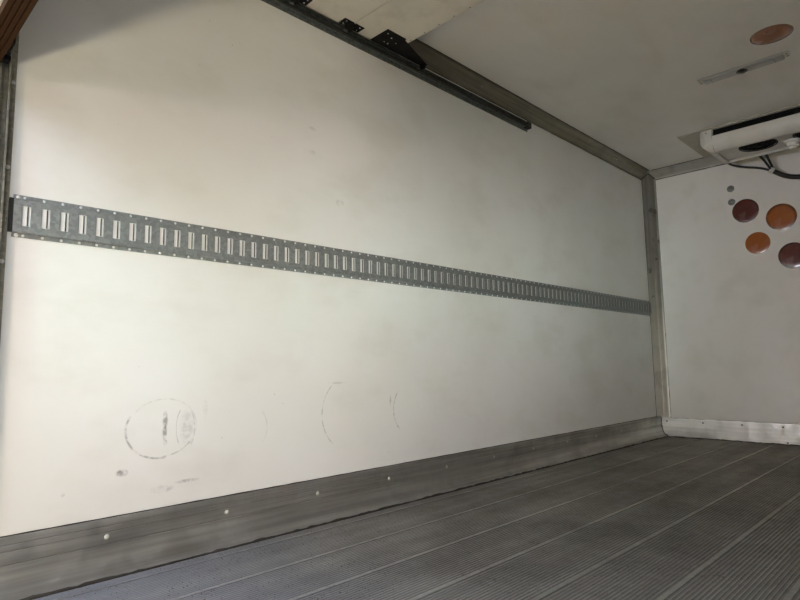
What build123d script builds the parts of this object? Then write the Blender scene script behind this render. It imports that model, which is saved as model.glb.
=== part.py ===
"""Insulated box body of a refrigerated truck, in millimetres.

X points to the right-hand side of the road, Y to the front and Z up. The origin is at
the middle of the overall length and width, at the underside of the long sills.
"""
from build123d import *
import math
import os

os.makedirs("parts", exist_ok=True)

# Load space
INNER_WIDTH = 2311.0
INNER_HEIGHT = 2286.0
LOAD_LENGTH = 4783.0      # from the door's roller line to the front wall
WALL = 63.5
FRONT_WALL = 76.0
ROOF = 76.0
CUT = 1.0                 # how far a cutter runs past the face that it cuts

# Floor and underframe
SILL_HEIGHT = 101.6
SILL_WIDTH = 41.0
SILL_WEB = 7.0
SILL_SPACING = 864.0      # centre to centre, over the truck's frame rails
CROSS_HEIGHT = 76.2
CROSS_FLANGE = 58.0
CROSS_WEB = 5.0
CROSS_PITCH = 305.0
CROSS_INSET = 60.0
SLAB = 76.2
DECK = 31.75
DECK_RIB_PITCH = 12.7
DECK_RIB_HEIGHT = 3.0
PLANK = 241.3
DECK_EDGE = 109.0         # from the left wall to the first seam
SEAM_WIDTH = 16.0

# Outer rails and rear frame
RAIL_SKIN = 3.0
RAIL_LAP = 45.0
RAIL_RADIUS = 42.0
BOTTOM_RAIL_HEIGHT = 130.0
BOTTOM_RAIL_SKIN = 4.0
POST_DEPTH = 70.0
POST_INSET = 60.0         # how far a rear post stands into the load space's width
POST_RADIUS = 12.0
DOORWAY_HEIGHT = 1980.0

# Inner trims
COVE_CEILING = 71.0
COVE_WALL = 73.0
CORNER_SIDE = 88.0
CORNER_FRONT = 85.0
TRIM_SKIN = 3.0
TRIM_FLANGE = 14.0
TRIM_GROOVE = 2.0
TRIM_GROOVE_WIDTH = 20.0
COVE_REAR = 59.0          # from the roller line to the ceiling coves' rear ends
COVE_GAP = 1.0            # joint between the coves that meet in a corner
LINER_REAR = 49.0         # from the roller line to the liners' rear ends
LINER_HEIGHT = 168.0
LINER_SKIN = 5.0
LINER_EDGE = 2.0          # thickness of the liner's upper edge
LINER_TOE = 52.0
LINER_TOE_SKIN = 5.0
LINER_BEND = 80.0         # height where the liner starts to lean in
LINER_FOOT = 48.0         # height where its hollow foot starts
LINER_LEAN = 7.0
LINER_HOLLOW = 8.0
LINER_GROOVES = (144.0, 126.0, 90.0)
LINER_GROOVE = 2.0
LINER_GROOVE_WIDTH = 5.0
KICK_HEIGHT = 155.0
KICK_SKIN = 3.0
KICK_GAP = 1.0             # to the liners' faces

# Cargo rail with slots
RAIL_CENTRE = 1079.0      # above the deck
RAIL_HEIGHT = 127.0
RAIL_FLANGE = 14.5
RAIL_DEPTH = 13.0
RAIL_STEEL = 2.7
SLOT_PITCH = 50.8
SLOT_WIDTH = 22.0
SLOT_HEIGHT = 60.0
FIRST_SLOT = 33.0         # from the rail's rear end
PAD_WIDTH = 10.0          # rubber pad between the rail and the door's track
PAD_HEIGHT = 100.0
PAD_CLEAR = 0.5

# Roll-up door
ROLLER_LINE = 2164.5      # height of the level track's centre above the deck
TRACK_RADIUS = 330.0
TRACK_MOUTH = 24.0
TRACK_LIP = 3.0
TRACK_SHEET = 2.5
TRACK_DEPTH = 32.0
TRACK_FLANGE = 19.0       # flange on the wall, along the track's inner side
TRACK_END = 2862.0        # front end of the level track, from the roller line
PANELS = 7
PANEL_PITCH = 297.0
PANEL_THICK = 63.5
PANEL_GAP = 3.0
PANEL_SIDE_GAP = 5.0
ROLLER_OFFSET = 15.0      # from the roller line to the panel's inner face
DOOR_BOTTOM = 1522.0      # height of the raised door's lower edge above the deck
TONGUE = 9.0
TONGUE_THICK = 20.0
TONGUE_CLEAR = 2.0
FOOT_STEM = 45.0          # from the door's lower edge to the lowest rollers
FOOT_LOW = 8.0
FOOT_TOP = 90.0
FOOT_WIDTH = 90.0
FOOT_SEAT = 60.0
ARM_STEM = 494.0          # from the top panel's lower joint to the top rollers
ARM_REACH = 514.0
ARM_LOW = 141.0
ARM_WIDTH = 122.0
ARM_SHOULDER = 262.0
ARM_BEVEL = 12.0
ARM_TIP = 30.0
ROLLER_RADIUS = 11.5
ROLLER_WIDTH = 12.0
STEM_RADIUS = 5.0
STEM_SEAT = 4.0           # from a panel's end to the barrel that holds the stem
ROLLER_CLEAR = 4.0        # between a roller and the track's web
HINGE_LEAF = 58.0
HINGE_WIDTH = 48.0
HINGE_STEEL = 3.0
HINGE_GAP = 6.0           # from a joint to a leaf's edge
HINGE_BEND = 22.0         # from a joint to where a leaf bends down to the barrel
HINGE_NECK = 4.0          # half the thickness of a bent leaf at the barrel
HINGES = 4                # along each joint
BARREL_RADIUS = 8.0
POST_SEAL = 6.0
SEAL_WIDTH = 18.0
BOTTOM_SEAL = 26.0
BOTTOM_SEAL_INSET = 6.0
SEAL_GROOVES = 3
SEAL_GROOVE = 3.0
SEAL_GROOVE_WIDTH = 3.0
LATCH_WIDTH = 140.0
LATCH_HEIGHT = 80.0
LATCH_LOW = 60.0          # above the door's lower edge
LATCH_PLATE = 4.0
HANDLE_WIDTH = 24.0
HANDLE_LENGTH = 130.0
HANDLE_THICK = 12.0
HANDLE_LOW = 70.0
SHAFT_RADIUS = 14.0
SHAFT_Y = 2.0             # from the roller line
SHAFT_Z = 2205.0
DRUM_RADIUS = 46.0
DRUM_WIDTH = 40.0
SHAFT_SHORT = 30.0        # from the doorway's side to the shaft's end
SHAFT_PLATE = 8.0
SHAFT_PLATE_HEIGHT = 60.0
SPRING_RADIUS = 30.0
SPRING_LENGTH = 620.0
SPRING_APART = 160.0

# Evaporator under the ceiling
PLATE_WIDTH = 1277.0
PLATE_LENGTH = 620.0
PLATE_SHEET = 6.0
EVAP_WIDTH = 861.0
EVAP_DEPTH = 402.0
EVAP_HEIGHT = 164.0
EVAP_FROM_WALL = 285.0    # from the front wall to the housing's front
EVAP_SHELL = 4.0
EVAP_CAP = 24.0
EVAP_BULGE = 72.0         # how far an end reaches out at the ceiling
EVAP_RECESS = 18.0
LOUVRE_HEIGHT = 50.0
LOUVRE_SLATS = 4
LOUVRE_INSET = 6.0
SLAT_DEPTH = 12.0
SLAT_SHEET = 3.0
EVAP_FACE = 60.0          # height of the louvred face
EVAP_LEAN = 14.0          # how far the louvred face leans back
EVAP_CURVE = 52.0         # depth of the round lower edge
EVAP_LIP = 84.0           # from the louvred face to the recess
EVAP_RIM = 16.0
EVAP_DRAFT = 6.0
DRAIN_BACK = 262.0
DRAIN_DROP = 8.0
SPOUT_RADIUS = 16.0
SPOUT_DROP = 10.0
EVAP_FAN_SPACING = 330.0
EVAP_FAN_RADIUS = 92.0
EVAP_FAN_HOLE = 112.0
EVAP_FAN_BACK = 190.0     # from the louvred face to the fans' axes
DRAIN_RADIUS = 38.0
EVAP_HUB = 36.0
EVAP_HUB_HEIGHT = 24.0
EVAP_CHORD = 58.0
EVAP_BLADES = 5
EVAP_MOTOR = 36.0
EVAP_GUARD_HUB = 26.0
EVAP_GUARD_RINGS = 2
EVAP_GUARD_SPOKES = 4
FAN_CLEAR = 8.0
MOTOR_CLEAR = 5.0
BLADE_SHEET = 3.0
BLADE_ROOT = 6.0          # how far a blade reaches into its hub
BLADE_PITCH = 28.0
GUARD_WIRE = 4.0
GUARD_LAP = 8.0
SHAFT = 6.0
SHAFT_CLEAR = 0.08

# Condenser on the nose
COND_WIDTH = 1400.0
COND_HEIGHT = 620.0
COND_DEPTH = 420.0
COND_SHELL = 5.0
COND_DROP = 12.0          # below the top rail's lap
COND_FAN_SPACING = 640.0
COND_FAN_RADIUS = 200.0
COND_FAN_HOLE = 215.0
COND_COIL = 70.0
COND_RADIUS = 110.0
COND_GUARD = 5.0
COND_HUB = 62.0
COND_HUB_HEIGHT = 60.0
COND_CHORD = 120.0
COND_BLADES = 6
COND_MOTOR = 70.0
COND_GUARD_HUB = 50.0
COND_GUARD_RINGS = 2
COND_GUARD_SPOKES = 4
COND_SLOTS = 9            # in each end of the housing
COND_SLOT_PITCH = 42.0
COND_SLOT_WIDTH = 14.0
COND_SLOT_LENGTH = 190.0
COND_SLOT_FROM_NOSE = 110.0
COIL_INSET = 20.0

# Refrigerant and drain hoses
ARC_SHARE = 0.45          # of the shorter run, for the arc between two runs
HOSE = 17.0
BUNDLE = 36.0
HOSE_GLAND = 14.0
GLAND_RADIUS = 12.0
TIE_LENGTH = 30.0
TIE_RADIUS = 23.0
BOOT_RADIUS = 22.0
BOOT_FLANGE = 48.0
BOOT_SHEET = 4.0
BOOT_REACH = 92.0

# Lamps and bumpers
LAMP_LENGTH = 408.0
LAMP_TAB = 26.0           # mounting end beyond the body
LAMP_TAB_HEIGHT = 8.0
LAMP_TAB_WIDTH = 54.0
LAMP_WIDTH = 66.0
LAMP_HEIGHT = 22.0
LAMP_FROM_WALL = 1492.0
LAMP_CHAMFER = 8.0
LENS_LENGTH = 46.0
LENS_WIDTH = 30.0
LENS_HEIGHT = 6.0
TAIL_RADIUS = 50.0
TAIL_PROUD = 8.0
TAIL_SEAT = 30.0
TAIL_GROMMET = 2.0
TAIL_CHAMFER = 4.0
TAIL_LAMPS = 3            # at each side
TAIL_FIRST = 380.0        # from the middle to the nearest lamp
TAIL_PITCH = 120.0
MARKER_LENGTH = 64.0
MARKER_HEIGHT = 22.0
MARKER_DEPTH = 20.0
MARKER_CHAMFER = 5.0
MARKER_PITCH = 150.0
MARKER_FROM_EDGE = 50.0
NOSE_MARKER_FROM_EDGE = 90.0
BUMPER_DEPTH = 60.0
BUMPER_WIDTH = 180.0
BUMPER_DROP = 10.0        # below the deck
BUMPER_CHAMFER = 14.0
MOUNT_HOLE_RADIUS = 8.5
MOUNT_HOLE_SPACING = 3000.0

# Places that follow from the sizes
half_in = INNER_WIDTH / 2
half_out = half_in + WALL
half_body = half_out + RAIL_SKIN
half_door = half_in - POST_INSET
half_panel = half_in - TRACK_DEPTH - PANEL_SIDE_GAP

length = (BUMPER_DEPTH + POST_DEPTH + POST_SEAL + PANEL_THICK + ROLLER_OFFSET
          + LOAD_LENGTH + FRONT_WALL + COND_DEPTH + COND_GUARD)
y_bumper = -length / 2
y_rear = y_bumper + BUMPER_DEPTH
y_post = y_rear + POST_DEPTH
y_line = y_post + POST_SEAL + PANEL_THICK + ROLLER_OFFSET
y_front = y_line + LOAD_LENGTH
y_nose = y_front + FRONT_WALL

z_cross = SILL_HEIGHT
z_slab = z_cross + CROSS_HEIGHT
z_deck = z_slab + SLAB + DECK
z_ceiling = z_deck + INNER_HEIGHT
z_roof = z_ceiling + ROOF
z_wall = z_slab + BOTTOM_RAIL_SKIN

ALONG_Y = Plane(origin=(0, 0, 0), x_dir=(1, 0, 0), z_dir=(0, -1, 0))


def block(x0, x1, y0, y1, z0, z1):
    """Box between two corners."""
    centre = Pos((x0 + x1) / 2, (y0 + y1) / 2, (z0 + z1) / 2)
    return centre * Box(abs(x1 - x0), abs(y1 - y0), abs(z1 - z0))


def rod(radius, start, end):
    """Round bar from one point to another."""
    axis = Vector(*end) - Vector(*start)
    return extrude(Plane(origin=start, z_dir=axis) * Circle(radius), amount=axis.length)


def rail_y(outline, y0, y1):
    """Section of X, Z points run along Y."""
    face = ALONG_Y * make_face(Polyline(*outline, close=True))
    return extrude(Pos(0, y0, 0) * face, amount=y1 - y0, dir=(0, 1, 0))


def rail_x(outline, x0, x1):
    """Section of Y, Z points run along X."""
    face = Plane.YZ * make_face(Polyline(*outline, close=True))
    return extrude(Pos(x0, 0, 0) * face, amount=x1 - x0, dir=(1, 0, 0))


def rail_z(outline, z0, z1):
    """Section of X, Y points run along Z."""
    face = make_face(Polyline(*outline, close=True))
    return extrude(Pos(0, 0, z0) * face, amount=z1 - z0, dir=(0, 0, 1))


def both_sides(solid):
    """A right-hand piece and its mirror image."""
    return [solid, mirror(solid, about=Plane.YZ)]


def save(name, *pieces):
    """Write one node, from one solid or from several that don't touch."""
    solids = [solid for piece in pieces for solid in piece.solids()]
    shape = solids[0] if len(solids) == 1 else Compound(children=solids)
    shape.label = name
    export_step(shape, f"parts/{name}.step")


def save_walls():
    side = block(half_in, half_out, y_post, y_front, z_wall, z_ceiling)
    save("side_walls", *both_sides(side))
    save("front_wall", block(-half_in, half_in, y_front, y_nose, z_wall, z_ceiling))
    save("roof_panel", block(-half_in, half_in, y_post, y_front, z_ceiling, z_roof))
    save("floor_slab", block(-half_in, half_in, y_post, y_front, z_slab, z_slab + SLAB))


def save_deck():
    """Extruded planks: fine ribs along the floor, with a plain raised seam at each joint."""
    z_low = z_slab + SLAB
    z_valley = z_deck - DECK_RIB_HEIGHT
    left = LINER_TOE - half_in
    right = half_in - LINER_TOE
    ribs = math.floor((PLANK - SEAM_WIDTH) / DECK_RIB_PITCH)
    first = (PLANK - (ribs - 1) * DECK_RIB_PITCH) / 2
    foot = DECK_RIB_PITCH / 4
    outline = [(-half_in, z_low), (-half_in, z_deck), (left, z_deck), (left, z_valley)]
    for plank in range(math.ceil((right - left) / PLANK) + 1):
        seam = DECK_EDGE - half_in + (plank - 1) * PLANK
        raised = [(seam, SEAM_WIDTH / 2, SEAM_WIDTH / 2)]
        raised += [(seam + first + i * DECK_RIB_PITCH, foot, foot / 2) for i in range(ribs)]
        for x, low, high in raised:
            if left < x - low and x + low < right:
                outline += [(x - low, z_valley), (x - high, z_deck), (x + high, z_deck), (x + low, z_valley)]
    outline += [(right, z_valley), (right, z_deck), (half_in, z_deck), (half_in, z_low)]
    save("floor_deck", rail_y(outline, y_post, y_front))


def save_underframe():
    x0 = SILL_SPACING / 2 - SILL_WIDTH / 2
    x1 = x0 + SILL_WIDTH
    channel = [(x0, 0), (x1, 0), (x1, SILL_WEB), (x0 + SILL_WEB, SILL_WEB),
               (x0 + SILL_WEB, SILL_HEIGHT - SILL_WEB), (x1, SILL_HEIGHT - SILL_WEB),
               (x1, SILL_HEIGHT), (x0, SILL_HEIGHT)]
    sill = rail_y(channel, y_post, y_nose)
    x_hole = (x0 + SILL_WEB + x1) / 2
    for side in (-1, 1):
        sill -= Pos(x_hole, side * MOUNT_HOLE_SPACING / 2, 0) * Cylinder(MOUNT_HOLE_RADIUS, 4 * SILL_WEB)
    save("long_sills", *both_sides(sill))

    f = CROSS_FLANGE / 2
    w = CROSS_WEB / 2
    t = CROSS_WEB
    beam = [(-f, 0), (f, 0), (f, t), (w, t), (w, CROSS_HEIGHT - t), (f, CROSS_HEIGHT - t),
            (f, CROSS_HEIGHT), (-f, CROSS_HEIGHT), (-f, CROSS_HEIGHT - t), (-w, CROSS_HEIGHT - t),
            (-w, t), (-f, t)]
    y0 = y_post + CROSS_INSET
    y1 = y_nose - CROSS_INSET
    bays = round((y1 - y0) / CROSS_PITCH)
    beams = []
    for i in range(bays + 1):
        y = y0 + i * (y1 - y0) / bays
        beams.append(rail_x([(y + a, z_cross + b) for a, b in beam], -half_out, half_out))
    save("crossmembers", *beams)


def save_outer_rails():
    t = RAIL_SKIN
    lap = RAIL_LAP
    r = RAIL_RADIUS

    def corner_section(inner, outer, base, top):
        """Filled corner with laps over both faces and a round outer edge."""
        line = Polyline((outer, base), (outer, base - lap), (outer + t, base - lap),
                        (outer + t, top + t - r))
        arc = RadiusArc((outer + t, top + t - r), (outer + t - r, top + t), -r)
        rest = Polyline((outer + t - r, top + t), (inner - lap, top + t), (inner - lap, top),
                        (inner, top), (inner, base), (outer, base))
        return make_face(line + arc + rest)

    side = ALONG_Y * corner_section(half_in, half_out, z_ceiling, z_roof)
    side = extrude(Pos(0, y_post, 0) * side, amount=y_front - lap - y_post, dir=(0, 1, 0))
    front = Plane.YZ * corner_section(y_front, y_nose, z_ceiling, z_roof)
    reach = half_in - lap
    front = extrude(Pos(-reach, 0, 0) * front, amount=2 * reach, dir=(1, 0, 0))
    save("top_rails", *both_sides(side), front)

    post = corner_section(y_front, y_nose, half_in, half_out)
    post = Plane(origin=(0, 0, z_slab), x_dir=(0, 1, 0), z_dir=(0, 0, -1)) * post
    post = extrude(post, amount=z_ceiling - lap - z_slab, dir=(0, 0, 1))
    save("front_corner_posts", *both_sides(post))

    cap = block(half_in - lap, half_out + t, y_front - lap, y_nose + t, z_ceiling - lap, z_roof + t)
    rounded = [edge for edge in cap.edges()
               if sum((edge.center().X > half_out, edge.center().Y > y_nose,
                       edge.center().Z > z_roof)) == 2]
    cap = fillet(rounded, r)
    cap -= block(half_in - 2 * lap, half_out, y_front - 2 * lap, y_front, z_ceiling - 2 * lap, z_ceiling)
    cap -= block(half_in - 2 * lap, half_in, y_front - 2 * lap, y_nose, z_ceiling - 2 * lap, z_ceiling)
    cap -= block(half_in - 2 * lap, half_in, y_front - 2 * lap, y_front, z_ceiling - 2 * lap, z_roof)
    save("roof_corner_caps", *both_sides(cap))

    def foot_section(inner, outer):
        """Angle that takes a wall's lower edge."""
        s = BOTTOM_RAIL_SKIN
        return [(inner, z_slab), (outer + s, z_slab), (outer + s, z_slab + BOTTOM_RAIL_HEIGHT),
                (outer, z_slab + BOTTOM_RAIL_HEIGHT), (outer, z_slab + s), (inner, z_slab + s)]

    foot = rail_y(foot_section(half_in, half_out), y_post, y_front - lap)
    front = rail_x(foot_section(y_front, y_nose), -reach, reach)
    save("bottom_rails", *both_sides(foot), front)


def save_rear_frame():
    z_head = z_deck + DOORWAY_HEIGHT
    post = block(half_door, half_body, y_rear, y_post, z_cross, z_roof + RAIL_SKIN)
    post = fillet([e for e in post.edges().filter_by(Axis.Z)
                   if e.center().X > half_out and e.center().Y < y_rear + CUT], POST_RADIUS)
    save("rear_posts", *both_sides(post))
    save("rear_header", block(-half_door, half_door, y_rear, y_post, z_head, z_roof + RAIL_SKIN))

    sill = block(-half_door, half_door, y_rear, y_post, z_cross, z_deck)
    z_lamp = (z_cross + z_deck) / 2
    y_seat = y_rear + TAIL_SEAT
    lamps = []
    for i in range(TAIL_LAMPS):
        x = TAIL_FIRST + i * TAIL_PITCH
        hole = rod(TAIL_RADIUS + TAIL_GROMMET, (x, y_rear - CUT, z_lamp), (x, y_seat, z_lamp))
        lamp = rod(TAIL_RADIUS, (x, y_rear - TAIL_PROUD, z_lamp), (x, y_seat, z_lamp))
        lamp = chamfer(lamp.faces().sort_by(Axis.Y)[0].edges(), TAIL_CHAMFER)
        sill -= both_sides(hole)
        lamps += both_sides(lamp)
    save("rear_sill", sill)
    save("tail_lamps", *lamps)

    x_bumper = half_body - BUMPER_WIDTH
    bumper = block(x_bumper, half_body, y_bumper, y_rear, z_cross, z_deck - BUMPER_DROP)
    bumper = chamfer(bumper.faces().sort_by(Axis.Y)[0].edges(), BUMPER_CHAMFER)
    save("dock_bumpers", *both_sides(bumper))

    z_marker = z_roof + RAIL_SKIN - RAIL_RADIUS - MARKER_HEIGHT / 2
    x_rear = half_out - MARKER_FROM_EDGE
    x_front = half_in - NOSE_MARKER_FROM_EDGE
    lamps = []
    for x in (-x_rear, -MARKER_PITCH, 0, MARKER_PITCH, x_rear):
        lamp = block(x - MARKER_LENGTH / 2, x + MARKER_LENGTH / 2, y_rear - MARKER_DEPTH, y_rear,
                     z_marker - MARKER_HEIGHT / 2, z_marker + MARKER_HEIGHT / 2)
        lamps.append(chamfer(lamp.faces().sort_by(Axis.Y)[0].edges(), MARKER_CHAMFER))
    y_rail = y_nose + RAIL_SKIN
    lamp = block(x_front - MARKER_LENGTH / 2, x_front + MARKER_LENGTH / 2, y_rail, y_rail + MARKER_DEPTH,
                 z_marker - MARKER_HEIGHT / 2, z_marker + MARKER_HEIGHT / 2)
    lamps += both_sides(chamfer(lamp.faces().sort_by(Axis.Y)[-1].edges(), MARKER_CHAMFER))
    save("marker_lamps", *lamps)


def trim_section(inner, top, leg_in, leg_down):
    """Angle trim with flat flanges and a grooved slanting face."""
    t = TRIM_SKIN
    a = (inner - leg_in + TRIM_FLANGE, top - t)
    b = (inner - t, top - leg_down + TRIM_FLANGE)

    g = TRIM_GROOVE
    near = 0.5 - TRIM_GROOVE_WIDTH / 2 / math.dist(a, b)
    far = 1 - near

    def between(share, sink=0.0):
        return (a[0] + (b[0] - a[0]) * share + sink, a[1] + (b[1] - a[1]) * share + sink)

    return [(inner, top), (inner, top - leg_down), (inner - t, top - leg_down), b,
            between(far), between(far, g), between(near, g), between(near), a,
            (inner - leg_in, top - t), (inner - leg_in, top)]


def liner_section():
    """Scuff liner against a wall: grooved upper part and a hollow foot."""
    w = half_in
    z = z_deck
    x_face = w - LINER_SKIN
    x_foot = x_face - LINER_LEAN
    upper = [(w, z), (w, z + LINER_HEIGHT), (w - LINER_EDGE, z + LINER_HEIGHT),
             (x_face, z + LINER_HEIGHT - LINER_SKIN)]
    for height in LINER_GROOVES:
        upper += [(x_face, z + height + LINER_GROOVE_WIDTH / 2), (x_face + LINER_GROOVE, z + height),
                  (x_face, z + height - LINER_GROOVE_WIDTH / 2)]
    upper += [(x_face, z + LINER_BEND), (x_foot, z + LINER_FOOT)]
    start = Vector(x_foot, z + LINER_FOOT)
    end = Vector(w - LINER_TOE, z + LINER_TOE_SKIN)
    along = (end - start).normalized()
    middle = (start + end) / 2 + Vector(-along.Y, along.X) * LINER_HOLLOW
    rest = Polyline((end.X, end.Y), (end.X, z), (w, z))
    return make_face(Polyline(*upper) + ThreePointArc(start, middle, end) + rest)


def save_trims():
    side = rail_y(trim_section(half_in, z_ceiling, COVE_CEILING, COVE_WALL), y_line + COVE_REAR, y_front)
    front = rail_x(trim_section(y_front, z_ceiling, COVE_CEILING, COVE_WALL), -half_in, half_in)
    low = z_ceiling - 2 * COVE_WALL
    clear = TRIM_SKIN + COVE_GAP
    room = rail_z([(half_in, y_front), (half_in, y_front - CORNER_SIDE - clear),
                   (half_in - CORNER_FRONT - clear, y_front)], low, z_ceiling)
    front -= both_sides(room)
    save("ceiling_coves", *both_sides(side - room), front)

    corner = trim_section(half_in, y_front, CORNER_FRONT, CORNER_SIDE)
    corner = rail_z(corner, z_deck + LINER_HEIGHT, z_ceiling)
    save("corner_coves", *both_sides(corner))

    liner = extrude(Pos(0, y_line + LINER_REAR, 0) * (ALONG_Y * liner_section()),
                    amount=y_front - y_line - LINER_REAR, dir=(0, 1, 0))
    save("scuff_liners", *both_sides(liner))
    kick = block(-half_in, half_in, y_front - KICK_SKIN, y_front, z_deck, z_deck + KICK_HEIGHT)
    kick -= both_sides(extrude(Pos(-KICK_GAP, y_front - 2 * KICK_SKIN, 0) * (ALONG_Y * liner_section()),
                               amount=2 * KICK_SKIN + CUT, dir=(0, 1, 0)))
    save("front_kick_plate", kick.solids().sort_by(SortBy.VOLUME)[-1])


def save_cargo_rails():
    z_mid = z_deck + RAIL_CENTRE
    y0 = y_line + TRACK_MOUTH / 2 + TRACK_SHEET + TRACK_FLANGE + PAD_CLEAR + PAD_WIDTH
    y1 = y_front - CORNER_SIDE
    s = RAIL_STEEL
    low = z_mid - RAIL_HEIGHT / 2
    high = z_mid + RAIL_HEIGHT / 2
    w = half_in
    d = RAIL_DEPTH
    hat = [(w, low), (w, low + RAIL_FLANGE), (w - d + s, low + RAIL_FLANGE + s),
           (w - d + s, high - RAIL_FLANGE - s), (w, high - RAIL_FLANGE), (w, high),
           (w - s, high), (w - s, high - RAIL_FLANGE + s), (w - d, high - RAIL_FLANGE),
           (w - d, low + RAIL_FLANGE), (w - s, low + RAIL_FLANGE - s), (w - s, low)]
    rail = rail_y(hat, y0, y1)
    count = math.floor((y1 - y0 - 2 * FIRST_SLOT + SLOT_WIDTH) / SLOT_PITCH) + 1
    slots = []
    for i in range(count):
        y = y0 + FIRST_SLOT + i * SLOT_PITCH
        slots.append(block(w - d - CUT, w - d + s + CUT, y - SLOT_WIDTH / 2, y + SLOT_WIDTH / 2,
                           z_mid - SLOT_HEIGHT / 2, z_mid + SLOT_HEIGHT / 2))
    rail -= slots
    save("e_tracks", *both_sides(rail))
    pad = block(w - d, w, y0 - PAD_WIDTH, y0, z_mid - PAD_HEIGHT / 2, z_mid + PAD_HEIGHT / 2)
    save("e_track_end_pads", *both_sides(pad))


z_line = z_deck + ROLLER_LINE
z_arc = z_line - TRACK_RADIUS
up_run = z_arc - (z_deck + DOOR_BOTTOM)
arc_run = math.pi / 2 * TRACK_RADIUS


def line_point(s):
    """Y and Z on the roller line, at a distance s from the raised door's lower edge."""
    if s <= up_run:
        return Vector(0, y_line, z_deck + DOOR_BOTTOM + s)
    if s <= up_run + arc_run:
        a = (s - up_run) / TRACK_RADIUS
        return Vector(0, y_line + TRACK_RADIUS * (1 - math.cos(a)), z_arc + TRACK_RADIUS * math.sin(a))
    return Vector(0, y_line + TRACK_RADIUS + s - up_run - arc_run, z_line)


def joint_runs():
    """Distances of the panels' joints along the roller line, each one panel from the last."""
    runs = [0.0]
    for _ in range(PANELS):
        low = runs[-1]
        high = runs[-1] + 2 * PANEL_PITCH
        for _ in range(40):
            mid = (low + high) / 2
            if (line_point(mid) - line_point(runs[-1])).length < PANEL_PITCH:
                low = mid
            else:
                high = mid
        runs.append((low + high) / 2)
    return runs


joints = [line_point(s) for s in joint_runs()]


def panel_plane(i):
    """Frame of panel i: x across the door, y along the panel and z outwards."""
    along = (joints[i + 1] - joints[i]).normalized()
    outward = Vector(0, -along.Z, along.Y)
    return Plane(origin=joints[i], x_dir=(1, 0, 0), z_dir=outward)


def save_door_track():
    half = TRACK_MOUTH / 2 + TRACK_SHEET
    x0 = half_in - TRACK_DEPTH

    def swept(outer, inner, xa, xb):
        """Band between two offsets of the roller line, from the deck to the track's front end."""
        def side(offset):
            r = TRACK_RADIUS + offset
            y = y_line - offset
            z = z_line + offset
            return (Line((y, z_deck + LINER_HEIGHT), (y, z_arc)),
                    RadiusArc((y, z_arc), (y_line + TRACK_RADIUS, z), r),
                    Line((y_line + TRACK_RADIUS, z), (y_line + TRACK_END, z)))
        far = side(outer)
        near = side(inner)
        ends = (Line(far[0] @ 0, near[0] @ 0), Line(far[2] @ 1, near[2] @ 1))
        face = make_face(Curve() + [*far, *near, *ends])
        return extrude(Pos(xa, 0, 0) * (Plane.YZ * face), amount=xb - xa, dir=(1, 0, 0))

    track = swept(half, -half, x0, half_in)
    track -= swept(half - TRACK_SHEET, TRACK_SHEET - half, x0 + TRACK_SHEET, half_in - TRACK_SHEET)
    track -= swept(half - TRACK_SHEET - TRACK_LIP, TRACK_SHEET + TRACK_LIP - half,
                   x0 - CUT, x0 + 2 * TRACK_SHEET)
    track += swept(-half, -half - TRACK_FLANGE, half_in - TRACK_SHEET, half_in)
    y_bend = y_line + TRACK_RADIUS
    y_end = y_line + TRACK_END
    upright = track & block(0, half_in, y_rear, y_end, z_deck, z_arc)
    curved = track & block(0, half_in, y_rear, y_bend, z_arc, z_ceiling)
    level = track & block(0, half_in, y_bend, y_end, z_arc, z_ceiling)
    save("door_track_uprights", *both_sides(upright))
    save("door_track_bends", *both_sides(curved))
    save("door_track_levels", *both_sides(level))


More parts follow.
